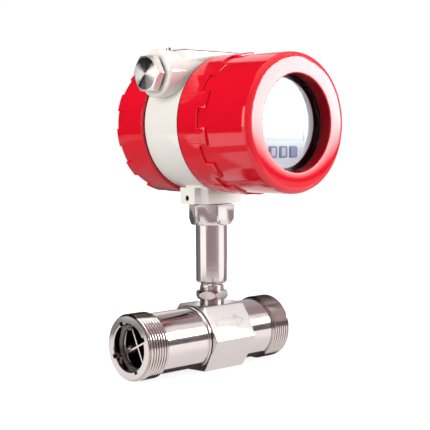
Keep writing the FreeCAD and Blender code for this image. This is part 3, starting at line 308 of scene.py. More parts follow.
def add(tree, kind, *values, named=None, **settings):
    """Add a node with its settings; values fill its inputs in order, named ones by name."""
    node = tree.nodes.new(kind)
    for name, value in settings.items():
        setattr(node, name, value)
    for socket, value in zip(node.inputs, values):
        feed(tree, socket, value)
    for name, value in (named or {}).items():
        feed(tree, node.inputs[name], value)
    return node


def number(tree, operation, *values, clamp=False):
    """A number worked out from others."""
    return add(tree, "ShaderNodeMath", *values, operation=operation, use_clamp=clamp).outputs[0]


def vector(tree, operation, *values):
    """A vector worked out from others; a length and a dot product are numbers."""
    outputs = add(tree, "ShaderNodeVectorMath", *values, operation=operation).outputs
    return outputs["Value" if operation in ("LENGTH", "DOT_PRODUCT") else "Vector"]


def ring_tree():
    """Geometry nodes that set copies of a shape evenly round its own Z axis."""
    tree = bpy.data.node_groups.new("ring of copies", "GeometryNodeTree")
    for label, side, kind in (("Geometry", "INPUT", "Geometry"), ("Count", "INPUT", "Int"),
                              ("First Angle", "INPUT", "Float"), ("Finish", "INPUT", "Material"),
                              ("Geometry", "OUTPUT", "Geometry")):
        tree.interface.new_socket(label, in_out=side, socket_type="NodeSocket" + kind)
    start = add(tree, "NodeGroupInput").outputs
    line = add(tree, "GeometryNodeMeshLine",
               named={"Offset": (0, 0, 0), "Count": start["Count"]})
    step = number(tree, "DIVIDE", math.tau, start["Count"])
    index = add(tree, "GeometryNodeInputIndex").outputs[0]
    turn = number(tree, "MULTIPLY_ADD", index, step, start["First Angle"])
    spin = add(tree, "ShaderNodeCombineXYZ", named={"Z": turn})
    copies = add(tree, "GeometryNodeInstanceOnPoints",
                 named={"Points": line.outputs[0], "Instance": start["Geometry"],
                        "Rotation": spin.outputs[0]})
    real = add(tree, "GeometryNodeRealizeInstances", copies.outputs[0])
    dressed = add(tree, "GeometryNodeSetMaterial",
                  named={"Geometry": real.outputs[0], "Material": start["Finish"]})
    add(tree, "NodeGroupOutput", dressed.outputs[0])
    return tree


def ring_of(thing, count, first_angle, material, place):
    """Set copies of a shape round its own Z axis, then put the whole ring in place."""
    change = thing.modifiers.new("ring", "NODES")
    change.node_group = RING_TREE
    values = {"Count": count, "First Angle": math.radians(first_angle), "Finish": material}
    for item in RING_TREE.interface.items_tree:
        if item.in_out == "INPUT" and item.name in values:
            change[item.identifier] = values[item.name]
    evaluated_mesh(thing)
    thing.data.transform(place)
    return thing


def finish(thing, body, slot, material, *nodes, sharp=32.0):
    """Smooth the shading up to an angle, dress the piece and set it on its body."""
    mesh = thing.data
    mesh.materials.clear()
    mesh.materials.append(material)
    mesh.polygons.foreach_set("use_smooth", [True] * len(mesh.polygons))
    mesh.polygons.foreach_set("material_index", [0] * len(mesh.polygons))
    mesh.set_sharp_from_angle(angle=math.radians(sharp))
    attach(thing, body)
    if nodes:
        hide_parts(*nodes)
    return thing


# ---- materials --------------------------------------------------------------------------------
def linear(red, green, blue):
    """A colour written as 0-255 display values, in the linear values that shaders take."""
    result = []
    for value in (red, green, blue):
        share = value / 255
        result.append(share / 12.92 if share <= 0.04045 else ((share + 0.055) / 1.055) ** 2.4)
    return (*result, 1.0)


def new_group(name, inputs, outputs):
    """A shader group, with the sockets of its two ends; inputs give their starting values."""
    group = bpy.data.node_groups.new(name, "ShaderNodeTree")
    for label, value in inputs.items():
        size = len(value) if isinstance(value, tuple) else 1
        kind = {1: "NodeSocketFloat", 3: "NodeSocketVector", 4: "NodeSocketColor"}[size]
        socket = group.interface.new_socket(label, in_out="INPUT", socket_type=kind)
        socket.default_value = value
    for label, kind in outputs.items():
        group.interface.new_socket(label, in_out="OUTPUT", socket_type="NodeSocket" + kind)
    return group, add(group, "NodeGroupInput").outputs, add(group, "NodeGroupOutput").inputs


def object_place(tree):
    return add(tree, "ShaderNodeTexCoord").outputs["Object"]


def coordinates(tree, value):
    return add(tree, "ShaderNodeSeparateXYZ", value).outputs


def surface_wear():
    """Slow changes over a surface: a mottled colour, a roughness and a fine height."""
    group, start, end = new_group(
        "surface wear",
        {"Colour": (1, 1, 1, 1), "Tint": (0, 0, 0, 1), "Amount": 0.1, "Roughness": 0.3,
         "Spread": 0.1, "Scale": 60.0},
        {"Colour": "Color", "Roughness": "Float", "Height": "Float"})
    place = object_place(group)
    cloud = add(group, "ShaderNodeTexNoise",
                named={"Vector": place, "Scale": start["Scale"], "Detail": 4}).outputs["Fac"]
    grain = add(group, "ShaderNodeTexNoise", named={"Vector": place, "Scale": 900})
    share = number(group, "MULTIPLY", cloud, start["Amount"])
    tint = add(group, "ShaderNodeMix", data_type="RGBA",
               named={"Factor": share, "A": start["Colour"], "B": start["Tint"]})
    rough = number(group, "MULTIPLY_ADD", cloud, start["Spread"], start["Roughness"])
    feed(group, end["Colour"], tint.outputs["Result"])
    feed(group, end["Roughness"], rough)
    feed(group, end["Height"], grain.outputs["Fac"])
    return group


def turning_marks():
    """Fine rings left by a lathe round one axis."""
    group, start, end = new_group("turning marks", {"Along": (1, 0, 0), "Scale": 2500.0},
                                  {"Height": "Float"})
    along = vector(group, "DOT_PRODUCT", object_place(group), start["Along"])
    noise = add(group, "ShaderNodeTexNoise", noise_dimensions="1D",
                named={"W": along, "Scale": start["Scale"], "Detail": 3})
    feed(group, end["Height"], noise.outputs["Fac"])
    return group


def principled(name, **values):
    """A material with one Principled shader; the keywords are its sockets' names."""
    material = bpy.data.materials.new(name)
    material.use_nodes = True
    shader = material.node_tree.nodes["Principled BSDF"]
    for label, value in values.items():
        shader.inputs[label.replace("_", " ")].default_value = value
    return material, shader


def bumped(tree, height, strength, distance):
    """Let a height shape a material's normal."""
    bump = add(tree, "ShaderNodeBump",
               named={"Strength": strength, "Distance": distance, "Height": height})
    feed(tree, tree.nodes["Principled BSDF"].inputs["Normal"], bump.outputs["Normal"])


def worn(name, colour, tint, amount=0.15, rough=0.3, spread=0.1, scale=60.0, bump=0.05, **values):
    """A finish with slow changes of colour and roughness and a fine height."""
    material, shader = principled(name, **values)
    tree = material.node_tree
    wear = add(tree, "ShaderNodeGroup", node_tree=SURFACE_WEAR,
               named={"Colour": colour, "Tint": tint, "Amount": amount, "Roughness": rough,
                      "Spread": spread, "Scale": scale}).outputs
    feed(tree, shader.inputs["Base Color"], wear["Colour"])
    feed(tree, shader.inputs["Roughness"], wear["Roughness"])
    bumped(tree, wear["Height"], bump, 0.2 * MM)
    return material


def steel(name, along, rough=0.09, colour=(206, 199, 197), marks=0.12):
    """Polished stainless steel, turned about one axis."""
    material = worn(name, linear(*colour), linear(170, 158, 156), 0.25, rough, 0.06, 45.0,
                    Metallic=1.0)
    tree = material.node_tree
    turning = add(tree, "ShaderNodeGroup", node_tree=TURNING_MARKS, named={"Along": along})
    bumped(tree, turning.outputs["Height"], marks, 0.1 * MM)
    return material


def enamel(name, colour, tint, rough=0.5, coat=0.09):
    """Glossy stoved enamel with a slight orange peel, with painted shade in the set screw's hole.
    """
    material = worn(name, linear(*colour), linear(*tint), 0.12, rough, 0.04, 25.0, 0.02,
                    Specular_IOR_Level=0.0, Coat_Weight=1.0, Coat_Roughness=coat)
    # Painted shade: the wall of the set screw's hole is near black, from 4 mm outside the screw's
    # end inwards.
    return tinted(material, SET_SCREW_HOLE_SHADE, linear(34, 32, 32), 0.6, 1.0,
                  Centre=(0, 0, SET_SCREW_Z * MM), Radius=2.15 * MM,
                  End=(SET_SCREW_END - 4.0) * MM)


def drilled_hole():
    """1 on the wall of a hole drilled along X, 0 elsewhere."""
    group, start, end = new_group("painted shade in the screw hole", {"Centre": (0, 0, 0), "Radius": 0.002,
                                                   "End": 0.0}, {"Mask": "Float"})
    place = object_place(group)
    offset = vector(group, "SUBTRACT", place, start["Centre"])
    reach = vector(group, "LENGTH", vector(group, "MULTIPLY", offset, (0, 1, 1)))
    near = number(group, "LESS_THAN", reach, start["Radius"])
    inside = number(group, "GREATER_THAN", coordinates(group, place)["X"], start["End"])
    feed(group, end["Mask"], number(group, "MULTIPLY", near, inside))
    return group


def window_mask(name):
    """1 inside an upright rectangle, fading to 0 over its border; depth along Y is ignored."""
    group, start, end = new_group(name, {"Centre": (0, 0, 0), "Half Size": (1, 1, 1),
                                         "Border": 0.001}, {"Mask": "Float"})
    offset = vector(group, "SUBTRACT", object_place(group), start["Centre"])
    room = vector(group, "SUBTRACT", start["Half Size"], vector(group, "ABSOLUTE", offset))
    parts = coordinates(group, room)
    least = number(group, "MINIMUM", parts["X"], parts["Z"])
    feed(group, end["Mask"], number(group, "DIVIDE", least, start["Border"], clamp=True))
    return group


def band_mask(name, axis):
    """1 between two distances from a line or a level, over a stretch along it."""
    group, start, end = new_group(
        name, {"Centre": (0, 0, 0), "Low": 0.0, "High": 1.0, "Fade": 0.0001, "Beyond": -1.0,
               "Within": 10.0}, {"Mask": "Float"})
    offset = vector(group, "SUBTRACT", object_place(group), start["Centre"])
    flat = vector(group, "MULTIPLY", offset, [1 - abs(part) for part in axis])
    reach = vector(group, "LENGTH", flat)
    above = number(group, "SUBTRACT", reach, start["Low"])
    below = number(group, "SUBTRACT", start["High"], reach)
    edges = [number(group, "DIVIDE", room, start["Fade"], clamp=True) for room in (above, below)]
    along = number(group, "ABSOLUTE", vector(group, "DOT_PRODUCT", offset, axis))
    past = number(group, "GREATER_THAN", along, start["Beyond"])
    short = number(group, "LESS_THAN", along, start["Within"])
    stretch = number(group, "MULTIPLY", past, short)
    band = number(group, "MULTIPLY", *edges)
    feed(group, end["Mask"], number(group, "MULTIPLY", stretch, band))
    return group


def plane_mask():
    """1 on a patch of one slanted plane: a depth range below it, a length and a width."""
    group, start, end = new_group(
        "plane patch", {"Centre": (0, 0, 0), "Normal": (0, 0, 1), "Half Length": 0.01,
                        "Half Width": 0.01, "Depth Low": 0.0001, "Depth High": 0.001},
        {"Mask": "Float"})
    offset = vector(group, "SUBTRACT", object_place(group), start["Centre"])
    across = vector(group, "CROSS_PRODUCT", start["Normal"], (1, 0, 0))
    depth = vector(group, "DOT_PRODUCT", offset, start["Normal"])
    side = vector(group, "DOT_PRODUCT", offset, across)
    mask = 1.0
    for value, kind, limit in ((coordinates(group, offset)["X"], "LESS_THAN", "Half Length"),
                               (side, "LESS_THAN", "Half Width"),
                               (depth, "LESS_THAN", "Depth High"),
                               (depth, "GREATER_THAN", "Depth Low")):
        test = number(group, kind, number(group, "ABSOLUTE", value), start[limit])
        mask = number(group, "MULTIPLY", mask, test)
    feed(group, end["Mask"], mask)
    return group


def tinted(material, group, colour, rough=None, share=1.0, **values):
    """Blend a colour, and a roughness, into a finished material where a mask group says."""
    tree = material.node_tree
    sockets = tree.nodes["Principled BSDF"].inputs
    named = {name.replace("_", " "): value for name, value in values.items()}
    mask = add(tree, "ShaderNodeGroup", node_tree=group, named=named).outputs["Mask"]
    level = number(tree, "MULTIPLY", mask, share)
    base = sockets["Base Color"]
    blend = add(tree, "ShaderNodeMix", data_type="RGBA",
                named={"Factor": level, "A": base.links[0].from_socket, "B": colour})
    feed(tree, base, blend.outputs["Result"])
    coat = sockets["Coat Weight"]
    if coat.default_value > 0:
        held = coat.links[0].from_socket if coat.links else 1.0
        feed(tree, coat, number(tree, "SUBTRACT", held, level, clamp=True))
    if rough is not None:
        dull = add(tree, "ShaderNodeMix",
                   named={"Factor": level, "A": sockets["Roughness"].links[0].from_socket,
                          "B": rough})
        feed(tree, sockets["Roughness"], dull.outputs["Result"])
    return material


def key_cap(name, centre_x, rim, middle):
    """A moulded key, darker round its edge than in its dished middle."""
    material = worn(name, linear(*rim), linear(*rim), 0.1, 0.35, 0.1, 90.0, 0.02)
    return tinted(material, WINDOW_MASK, linear(*middle), None, 1.0,
                  Centre=(centre_x * MM, 0, KEY_Z * MM), Half_Size=(2.6 * MM, 1, 3.4 * MM),
                  Border=1.2 * MM)


def turned_face(name, colour):
    """A plated face with the fine rings that facing leaves round the conduit's axis."""
    material = steel(name, X, 0.1, colour, 0.0)
    tree = material.node_tree
    offset = vector(tree, "SUBTRACT", object_place(tree), (0, 0, CONDUIT_Z * MM))
    reach = vector(tree, "LENGTH", vector(tree, "MULTIPLY", offset, (0, 1, 1)))
    rings = number(tree, "MULTIPLY", reach, math.tau / (FACING_PITCH * MM))
    bumped(tree, number(tree, "SINE", rings), 1.0, 0.03 * MM)
    return material


def glass():
    material, shader = principled("clear window glass", Transmission_Weight=1.0, Roughness=0.0,
                                  IOR=1.5, Specular_IOR_Level=0.25)
    shader.inputs["Base Color"].default_value = linear(250, 252, 252)
    return material


RING_TREE = ring_tree()
SURFACE_WEAR = surface_wear()
TURNING_MARKS = turning_marks()
SET_SCREW_HOLE_SHADE = drilled_hole()
WINDOW_MASK = window_mask("upright window")
ROUND_PIPE = band_mask("band round the pipe", X)
HEAD_SHADE_BAND = band_mask("painted shade band round the head", Y)
RIM_SHADE_BAND = band_mask("painted shade band along the head", X + Z)
HEIGHT_SHADE_BAND = band_mask("painted shade band of heights", X + Y)
PLANE_PATCH = plane_mask()
PIPE_STEEL = steel("pipe steel", X)
tinted(PIPE_STEEL, ROUND_PIPE, linear(146, 124, 112), 0.25, 0.6, Centre=(0, 0, PIPE_Z * MM),
       Low=PIPE_RADIUS * MM, High=(THREAD_RADIUS - 0.25) * MM, Fade=0.55 * MM,
       Beyond=(OUTLET_FACE - THREAD_LENGTH - 0.5) * MM)
ARROW_FACE = Vector((0, -math.cos(math.radians(30)), math.sin(math.radians(30))))
tinted(PIPE_STEEL, PLANE_PATCH, linear(150, 148, 152), 0.5, 1.0,
       Centre=Z * PIPE_Z * MM + X * (HEX_INLET + HEX_OUTLET) / 2 * MM, Normal=ARROW_FACE,
       Half_Length=15 * MM, Half_Width=6.5 * MM,
       Depth_Low=(HEX_AF / 2 - 0.7) * MM, Depth_High=(HEX_AF / 2 - 0.05) * MM)
RING_STEEL = steel("window ring steel with painted shade", Z, 0.3, (196, 198, 206), 0.0)
# Painted shade: the window ring turns dark grey-blue from 6 mm below the head's axis downwards, and
# is fully dark 14 mm lower.
tinted(RING_STEEL, HEIGHT_SHADE_BAND, linear(40, 44, 60), 0.5, 1.0,
       Low=0.0, High=(HEAD_Z - 6) * MM, Fade=14 * MM)
STEM_STEEL = steel("stem steel", Z)
LOCK_STEEL = steel("lock nut steel", Z, 0.2, (228, 222, 219))
PLATED = steel("plated fitting", X, 0.16, (212, 208, 204))
SCREW_STEEL = steel("screw steel", Z, 0.25, (170, 168, 166))
SPRING_STEEL = steel("spring steel", X, 0.3, (120, 116, 114))
RED_ENAMEL_PAINTED_SHADE = enamel("red enamel with painted shade", (226, 14, 38), (196, 6, 30))
# Painted shade: a near-black ring round the glass for the shaded recess inside the window cover.
# The band reaches both ways along Y, so it also darkens a ring on the blind cover's back.
tinted(RED_ENAMEL_PAINTED_SHADE, HEAD_SHADE_BAND, linear(40, 42, 52), None, 1.0, Centre=(0, 0, HEAD_Z * MM),
       Low=(WINDOW_RADIUS + 0.3) * MM, High=(BODY_RADIUS - 1.5) * MM, Fade=0.1 * MM,
       Within=GLASS_FRONT * MM)
# Painted shadow: a dark red line about 1.8 mm wide round the window cover's rear rim, where it
# meets the casting.
tinted(RED_ENAMEL_PAINTED_SHADE, RIM_SHADE_BAND, linear(70, 2, 10), None, 1.0,
       Centre=(0, (-RIM_START - 0.3) * MM, 0), Low=-1.0, High=0.9 * MM, Fade=0.3 * MM)
# Painted shade: a darker red ring on the lip's inner edge round the window.
tinted(RED_ENAMEL_PAINTED_SHADE, HEAD_SHADE_BAND, linear(140, 2, 14), None, 0.85, Centre=(0, 0, HEAD_Z * MM),
       Low=(WINDOW_RADIUS - 0.5) * MM, High=(WINDOW_RADIUS + 0.6) * MM, Fade=0.1 * MM,
       Beyond=LIP_BEAD * MM, Within=(FRONT_FACE - 0.9) * MM)
CREAM_ENAMEL_PAINTED_SHADE = enamel("cream enamel with painted shade", (242, 238, 231), (232, 227, 218))
# Painted shade: a grey line along the slab's rounded top edge, from 0.85 mm under its top to just
# below it.
tinted(CREAM_ENAMEL_PAINTED_SHADE, HEIGHT_SHADE_BAND, linear(112, 110, 107), None, 1.0,
       Centre=(0, 0, 0), Low=(HEAD_Z + SLAB_TOP - 0.85) * MM,
       High=(HEAD_Z + SLAB_TOP - 0.06) * MM, Fade=0.12 * MM)
RUBBER = worn("black rubber", linear(24, 24, 25), linear(40, 40, 42), 0.4, 0.55, 0.15, 120.0, 0.2)
BOARD = worn("circuit board", linear(24, 92, 52), linear(14, 64, 40), 0.4, 0.4, 0.1, 200.0)
COPPER = worn("copper winding", linear(190, 110, 60), linear(150, 80, 40), 0.4, 0.35, 0.1, 300.0,
              Metallic=1.0)
TURNED_FACE = turned_face("turned plug", (212, 208, 204))
tinted(TURNED_FACE, ROUND_PIPE, linear(232, 226, 222), 0.5, 1.0, Centre=(0, 0, CONDUIT_Z * MM),
       Low=11.3 * MM, High=20 * MM, Fade=0.1 * MM)
BRASS = worn("nickelled brass", linear(205, 196, 170), linear(170, 160, 130), 0.3, 0.3, 0.1,
             Metallic=1.0)
WHITE_FACE_PAINTED_SHADOW = worn("white face film with painted shadow", linear(226, 227, 236), linear(214, 216, 228), 0.2, 0.35,
                  0.05, 40.0, 0.02)
# Painted shadow: a dark grey-blue crescent at the display face's lower right edge, beyond 44 mm
# from a point 12 mm left of and 8 mm above the head's axis.
tinted(WHITE_FACE_PAINTED_SHADOW, HEAD_SHADE_BAND, linear(58, 62, 78), None, 1.0,
       Centre=(-12 * MM, 0, (HEAD_Z + 8) * MM), Low=44.0 * MM, High=80 * MM, Fade=2.5 * MM)
KEY_CAPS = {
    "key_left": key_cap("left key", KEY_X[0], (108, 108, 150), (205, 206, 232)),
    "key_middle": key_cap("middle key", KEY_X[1], (108, 108, 150), (200, 202, 230)),
    "key_right": key_cap("right key", KEY_X[2], (120, 122, 166), (140, 146, 188))}
BLACK_SCREW = worn("blackened screw", linear(30, 30, 32), linear(44, 42, 42), 0.3, 0.45, 0.1)
DISPLAY_CELL = worn("display cell", linear(214, 219, 214), linear(200, 206, 200), 0.2, 0.2, 0.05,
                    50.0, 0.0)
TERMINAL_PLASTIC = worn("green terminal plastic", linear(36, 110, 70), linear(26, 84, 52), 0.3,
                        0.45, 0.1, 90.0, 0.05)
GLASS = glass()
SLOT_FINISH = {
    "stainless_steel": PIPE_STEEL, "spring_steel": SPRING_STEEL, "bearing_carbide": SPRING_STEEL,
    "copper_winding": COPPER, "magnet_alloy": SPRING_STEEL, "red_enamel": RED_ENAMEL_PAINTED_SHADE,
    "cream_enamel": CREAM_ENAMEL_PAINTED_SHADE, "plated_fitting": PLATED, "plated_screw": SCREW_STEEL,
    "plated_brass": BRASS, "black_rubber": RUBBER, "window_glass": GLASS,
    "circuit_board": BOARD, "display_cell": DISPLAY_CELL, "white_face": WHITE_FACE_PAINTED_SHADOW,
    "terminal_plastic": TERMINAL_PLASTIC}


# ---- pipe body --------------------------------------------------------------------------------
def thread_wave(turns, crest=0.16, root=0.16):
    """Depth of a thread, from 0 on the crest to 1 in the root, over one pitch."""
    share = turns % 1.0
    fall = abs(2 * share - 1)
    return min(max((fall - crest) / (1 - crest - root), 0.0), 1.0)


def pipe_thread(along, radius, angle):
    """The pipe's outside, with a thread cut in at both ends."""
    if radius < PIPE_RADIUS - 1:
        return radius
    from_end = min(along - INLET_FACE, OUTLET_FACE - along)
    if from_end <= 0 or from_end >= THREAD_LENGTH:
        return radius
    depth = THREAD_DEPTH * thread_wave(along / THREAD_PITCH - angle / math.tau)
    return min(radius, THREAD_RADIUS - depth)


def thread_outline(start):
    """Closely spaced rings over one threaded end, chamfered both ways."""
    count = round(THREAD_LENGTH / THREAD_PITCH * THREAD_STEPS)
    points = []
    for index in range(count + 1):
        share = index / count
        room = min(min(share, 1 - share) * THREAD_LENGTH / THREAD_CHAMFER, 1.0)
        points.append((start + THREAD_LENGTH * share, THREAD_RADIUS - THREAD_CHAMFER * (1 - room)))
    return points


def make_pipe():
    groove = SEAT_RADIUS + CLIP_GROOVE
    clip_in = INLET_FACE + CLIP_DEPTH
    clip_out = OUTLET_FACE - CLIP_DEPTH
    outline = thread_outline(INLET_FACE) + rounded([
        (INLET_FACE + THREAD_LENGTH, PIPE_RADIUS), (HEX_INLET - 3.4, PIPE_RADIUS),
        (HEX_INLET - 2.6, PIPE_RADIUS - 0.5), (HEX_INLET - 2.2, PIPE_RADIUS, 0.3),
        (HEX_INLET - 2.0, COLLAR_RADIUS, 0.4), (HEX_INLET - 0.6, COLLAR_RADIUS, 0.4),
        (HEX_INLET - 0.4, PIPE_RADIUS), (OUTLET_FACE - THREAD_LENGTH, PIPE_RADIUS)])
    outline += thread_outline(OUTLET_FACE - THREAD_LENGTH)
    outline += [
        (OUTLET_FACE, SEAT_RADIUS + 0.5), (OUTLET_FACE - 0.5, SEAT_RADIUS),
        (clip_out, SEAT_RADIUS), (clip_out, groove), (clip_out - CLIP_WIDTH, groove),
        (clip_out - CLIP_WIDTH, SEAT_RADIUS), (SEAT_SHOULDER, SEAT_RADIUS),
        (SEAT_SHOULDER, BORE_RADIUS), (-SEAT_SHOULDER, BORE_RADIUS),
        (-SEAT_SHOULDER, SEAT_RADIUS), (clip_in + CLIP_WIDTH, SEAT_RADIUS),
        (clip_in + CLIP_WIDTH, groove), (clip_in, groove), (clip_in, SEAT_RADIUS),
        (INLET_FACE + 0.5, SEAT_RADIUS), (INLET_FACE, SEAT_RADIUS + 0.5)]
    pipe = turned("pipe_body", outline, PIPE, SEGMENTS, pipe_thread)
    combine(pipe, [hexagon_block()], "UNION")
    cuts = []
    for face, sense in ((INLET_FACE, 1), (OUTLET_FACE, -1)):
        low, high = sorted((face - sense, face + sense * SLOT_LENGTH))
        plan = box_plan(SLOT_DEPTH + SEAT_RADIUS, SLOT_WIDTH, 0.0,
                        ((SLOT_DEPTH + SEAT_RADIUS) / 2, 0))
        slot = prism("slot", plan, low, high, Matrix.Identity(4))
        cuts.append(ring_of(slot, SLOT_COUNT, -SLOT_ANGLE, None, PIPE))
    cuts += arrow_cuts()
    cuts.append(rod("pocket", STEM, [(PIPE_Z + BORE_RADIUS + 1.2, STEM_THREAD + 0.1)],
                    HEX_TOP + 1))
    combine(pipe, cuts, "DIFFERENCE")
    return finish(pipe, "meter", "stainless_steel", PIPE_STEEL, "meter_body")


def turned_hexagon(name, low, high, across_flats, place, low_cone, high_cone, turn, inner=0.0,
                   corner=0.5, inset=0.1):
    """A hexagonal bar with turned ends, bored through where inner is given."""
    reach = across_flats / math.sqrt(3)
    face = across_flats / 2 - inset
    bar = prism(name, hexagon_plan(across_flats, corner, turn), low, high, place)
    cone = turned("cone", rounded([(low, 0), (low, face, 0.15), (low + low_cone, reach + 0.05),
                                   (high - high_cone, reach + 0.05), (high, face, 0.15),
                                   (high, 0)], 2), place, 144)
    combine(bar, [cone], "INTERSECT")
    if inner:
        combine(bar, [rod("bore", place, [(low - 1, inner)], high + 1)], "DIFFERENCE")
    return bar


def hexagon_block():
    return turned_hexagon("hexagon", HEX_INLET, HEX_OUTLET, HEX_AF, PIPE, 1.2, 1.2, 0,
                          BORE_RADIUS + 3, 0.7)


def arrow_cuts():
    """The flow arrow's outline, engraved on the hexagon's upper front face."""
    origin = Vector((-1, 0, PIPE_Z)) + ARROW_FACE * (HEX_AF / 2)
    place = placed(origin, ARROW_FACE, X)
    shaft, head, tail, neck, tip = 2.2, 4.8, -14.0, 5.5, 13.0
    half_width = 0.25
    corners = [(tail, -shaft), (neck, -shaft), (neck, -head), (tip, 0), (neck, head),
               (neck, shaft), (tail, shaft)]
    cuts = []
    for first, second in zip(corners, corners[1:] + corners[:1]):
        a = Vector(first)
        b = Vector(second)
        run = (b - a).normalized() * half_width
        side = Vector((-run.y, run.x))
        plan = [tuple(p) for p in (a - run - side, b + run - side, b + run + side, a - run + side)]
        cuts.append(prism("arrow stroke", plan, -0.3, 1.0, place))
    return cuts


# ---- stem -------------------------------------------------------------------------------------
def stem_thread(along, radius, angle):
    """The stem's threaded foot."""
    if along > HEX_TOP + 12.6 or radius < STEM_THREAD - 0.2:
        return radius
    return radius - STEM_THREAD_DEPTH * thread_wave(along / STEM_PITCH - angle / math.tau)


def make_stem():
    top = NUT_Z
    thread_top = HEX_TOP + 13.0
    tube_z = thread_top + 2.3
    foot = [(FOOT_Z, 0), (FOOT_Z, STEM_THREAD - 1)]
    count = int((thread_top - FOOT_Z - 1) / STEM_PITCH * THREAD_STEPS)
    for index in range(count + 1):
        foot.append((FOOT_Z + 1 + index * (thread_top - FOOT_Z - 1) / count, STEM_THREAD))
    shell = rounded([(thread_top, 8.35), (tube_z - 0.2, 8.35, 0.4), (tube_z, 9.6, 0.2),
                     (tube_z, TUBE_RADIUS - 1.3, 0.2), (tube_z + 1.3, TUBE_RADIUS, 0.3),
                     (top, TUBE_RADIUS), (top, 10), (TENON_TOP, 10), (TENON_TOP, 0)])
    stem = turned("stem_tube", foot + shell, STEM, 128, stem_thread)
    finish(stem, "meter", "stainless_steel", STEM_STEEL, "pickup_housing")
    lock = turned_hexagon("lock_nut", LOCK_NUT_Z, LOCK_NUT_TOP, LOCK_NUT_AF, STEM,
                          LOCK_NUT_CHAMFER, LOCK_NUT_CHAMFER, 0, STEM_THREAD + 0.05)
    finish(lock, "meter", "stainless_steel", LOCK_STEEL, "pickup_lock_nut")
    nut = turned_hexagon("coupling_hexagon", NUT_Z, NUT_TOP, NUT_AF, STEM, NUT_CHAMFER, 0.8,
                         NUT_TURN, 0, 0.8)
    spigot = turned("spigot", [(NUT_TOP - 1, 0), (NUT_TOP - 1, 10), (NECK_Z + 2, 10),
                               (NECK_Z + 2, 8.6), (NECK_Z + 7, 8.6), (NECK_Z + 7, 10),
                               (SPIGOT_TOP - 0.8, 10), (SPIGOT_TOP, 9.2), (SPIGOT_TOP, 0)],
                    STEM, FINE)
    combine(nut, [spigot], "UNION")
    socket = rod("socket", STEM, [(NUT_Z - 1, 10.05), (TENON_TOP + 0.05, 6)], SPIGOT_TOP + 1)
    combine(nut, [socket], "DIFFERENCE")
    finish(nut, "meter", "stainless_steel", STEM_STEEL, "coupling_nut")


# ---- head casting -----------------------------------------------------------------------------
def make_housing():
    inner = BODY_RADIUS - 6.0
    collar = BODY_RADIUS - 2.6
    slab_top = HEAD_Z + SLAB_TOP
    drum = turned("head_casting", rounded([
        (-COLLAR_END, 0), (-COLLAR_END, collar, 0.5), (-SHOULDER, collar),
        (-SHOULDER, BODY_RADIUS, 0.4), (SHOULDER, BODY_RADIUS, 0.4), (SHOULDER, collar),
        (COLLAR_END, collar, 0.5), (COLLAR_END, 0)]), FRONT)
    slab = prism("slab", box_plan(76, 28, 1.0), HEAD_Z + 20, slab_top, STEM)
    boss = turned("boss", rounded([(-BOSS_END, 0), (-BOSS_END, 17, 2.5), (BOSS_END, 17, 2.5),
                                   (BOSS_END, 0)]), RIGHT, 128)
    cut = 4.0
    neck = prism("neck", rounded([(x, y, 0.6) for x, y in (
        (18 - cut, -12), (18, cut - 12), (18, 12 - cut), (18 - cut, 12), (cut - 18, 12),
        (-18, 12 - cut), (-18, cut - 12), (cut - 18, -12))], 2), NECK_Z, HEAD_Z - 40, STEM)
    pads = prism("pads", box_plan(48, 16, 0.8), NECK_Z + 0.3, NECK_Z + 12.3, STEM)
    combine(drum, [slab, boss, neck, pads], "UNION")
    screw = placed((0, 0, NECK_Z + 4.5), -X, Z)
    earth = placed((-34.5, 0, 0), Z, X)
    combine(drum, [
        rod("front chamber", FRONT, [(12, inner)], COLLAR_END + 1, SEGMENTS),
        rod("rear chamber", REAR, [(-9, inner)], COLLAR_END + 1, SEGMENTS),
        rod("conduit", LEFT, [(14, 10)], BOSS_END + 1),
        rod("conduit", RIGHT, [(14, 10)], BOSS_END + 1),
        rod("neck bore", STEM, [(NECK_Z - 1, 10.05), (NECK_Z + 16, 6)], HEAD_Z - 38),
        rod("screw hole", screw, [(0, 2.05)], 25, 48),
        rod("earth hole", earth, [(slab_top - 8, 2.05)], slab_top + 1, 48)], "DIFFERENCE")
    return finish(drum, "head", "cream_enamel", CREAM_ENAMEL_PAINTED_SHADE, "head_housing")


# ---- covers -----------------------------------------------------------------------------------
def lug_blank():
    """One raised lug of the grip, on the cover's own axis, from its root to its tip."""
    low = LUG_ROOT - 0.8
    inner = COVER_RADIUS - 2.0
    steps = 6
    arc = [math.radians(LUG_ANGLE * index / steps) for index in range(steps + 1)]
    plan = [(RIM_RADIUS * math.cos(a), RIM_RADIUS * math.sin(a)) for a in arc]
    plan += [(inner * math.cos(a), inner * math.sin(a)) for a in reversed(arc)]
    lug = prism("lug", plan, low, LUG_TIP, Matrix.Identity(4))
    soften = lug.modifiers.new("edges", "BEVEL")
    soften.width = 0.35 * MM
    soften.segments = 2
    soften.limit_method = "ANGLE"
    soften.angle_limit = math.radians(40)
    return evaluated_mesh(lug)


def cover_shell(name, place, face, edge, lug_start, inside, end):
    """A screwed cover turned about its own axis, with its grip between inside and end."""
    outline = rounded(inside + [
        (RIM_START, COVER_BORE, 0.4), (RIM_START, RIM_RADIUS, 0.5), (LUG_ROOT, RIM_RADIUS, 0.35),
        (LUG_ROOT, COVER_RADIUS), (face, COVER_RADIUS, edge)] + end, 6)
    shell = turned(name, outline, place, 288)
    lugs = ring_of(lug_blank(), LUG_COUNT, lug_start, None, place)
    combine(shell, [lugs], "UNION")
    return shell


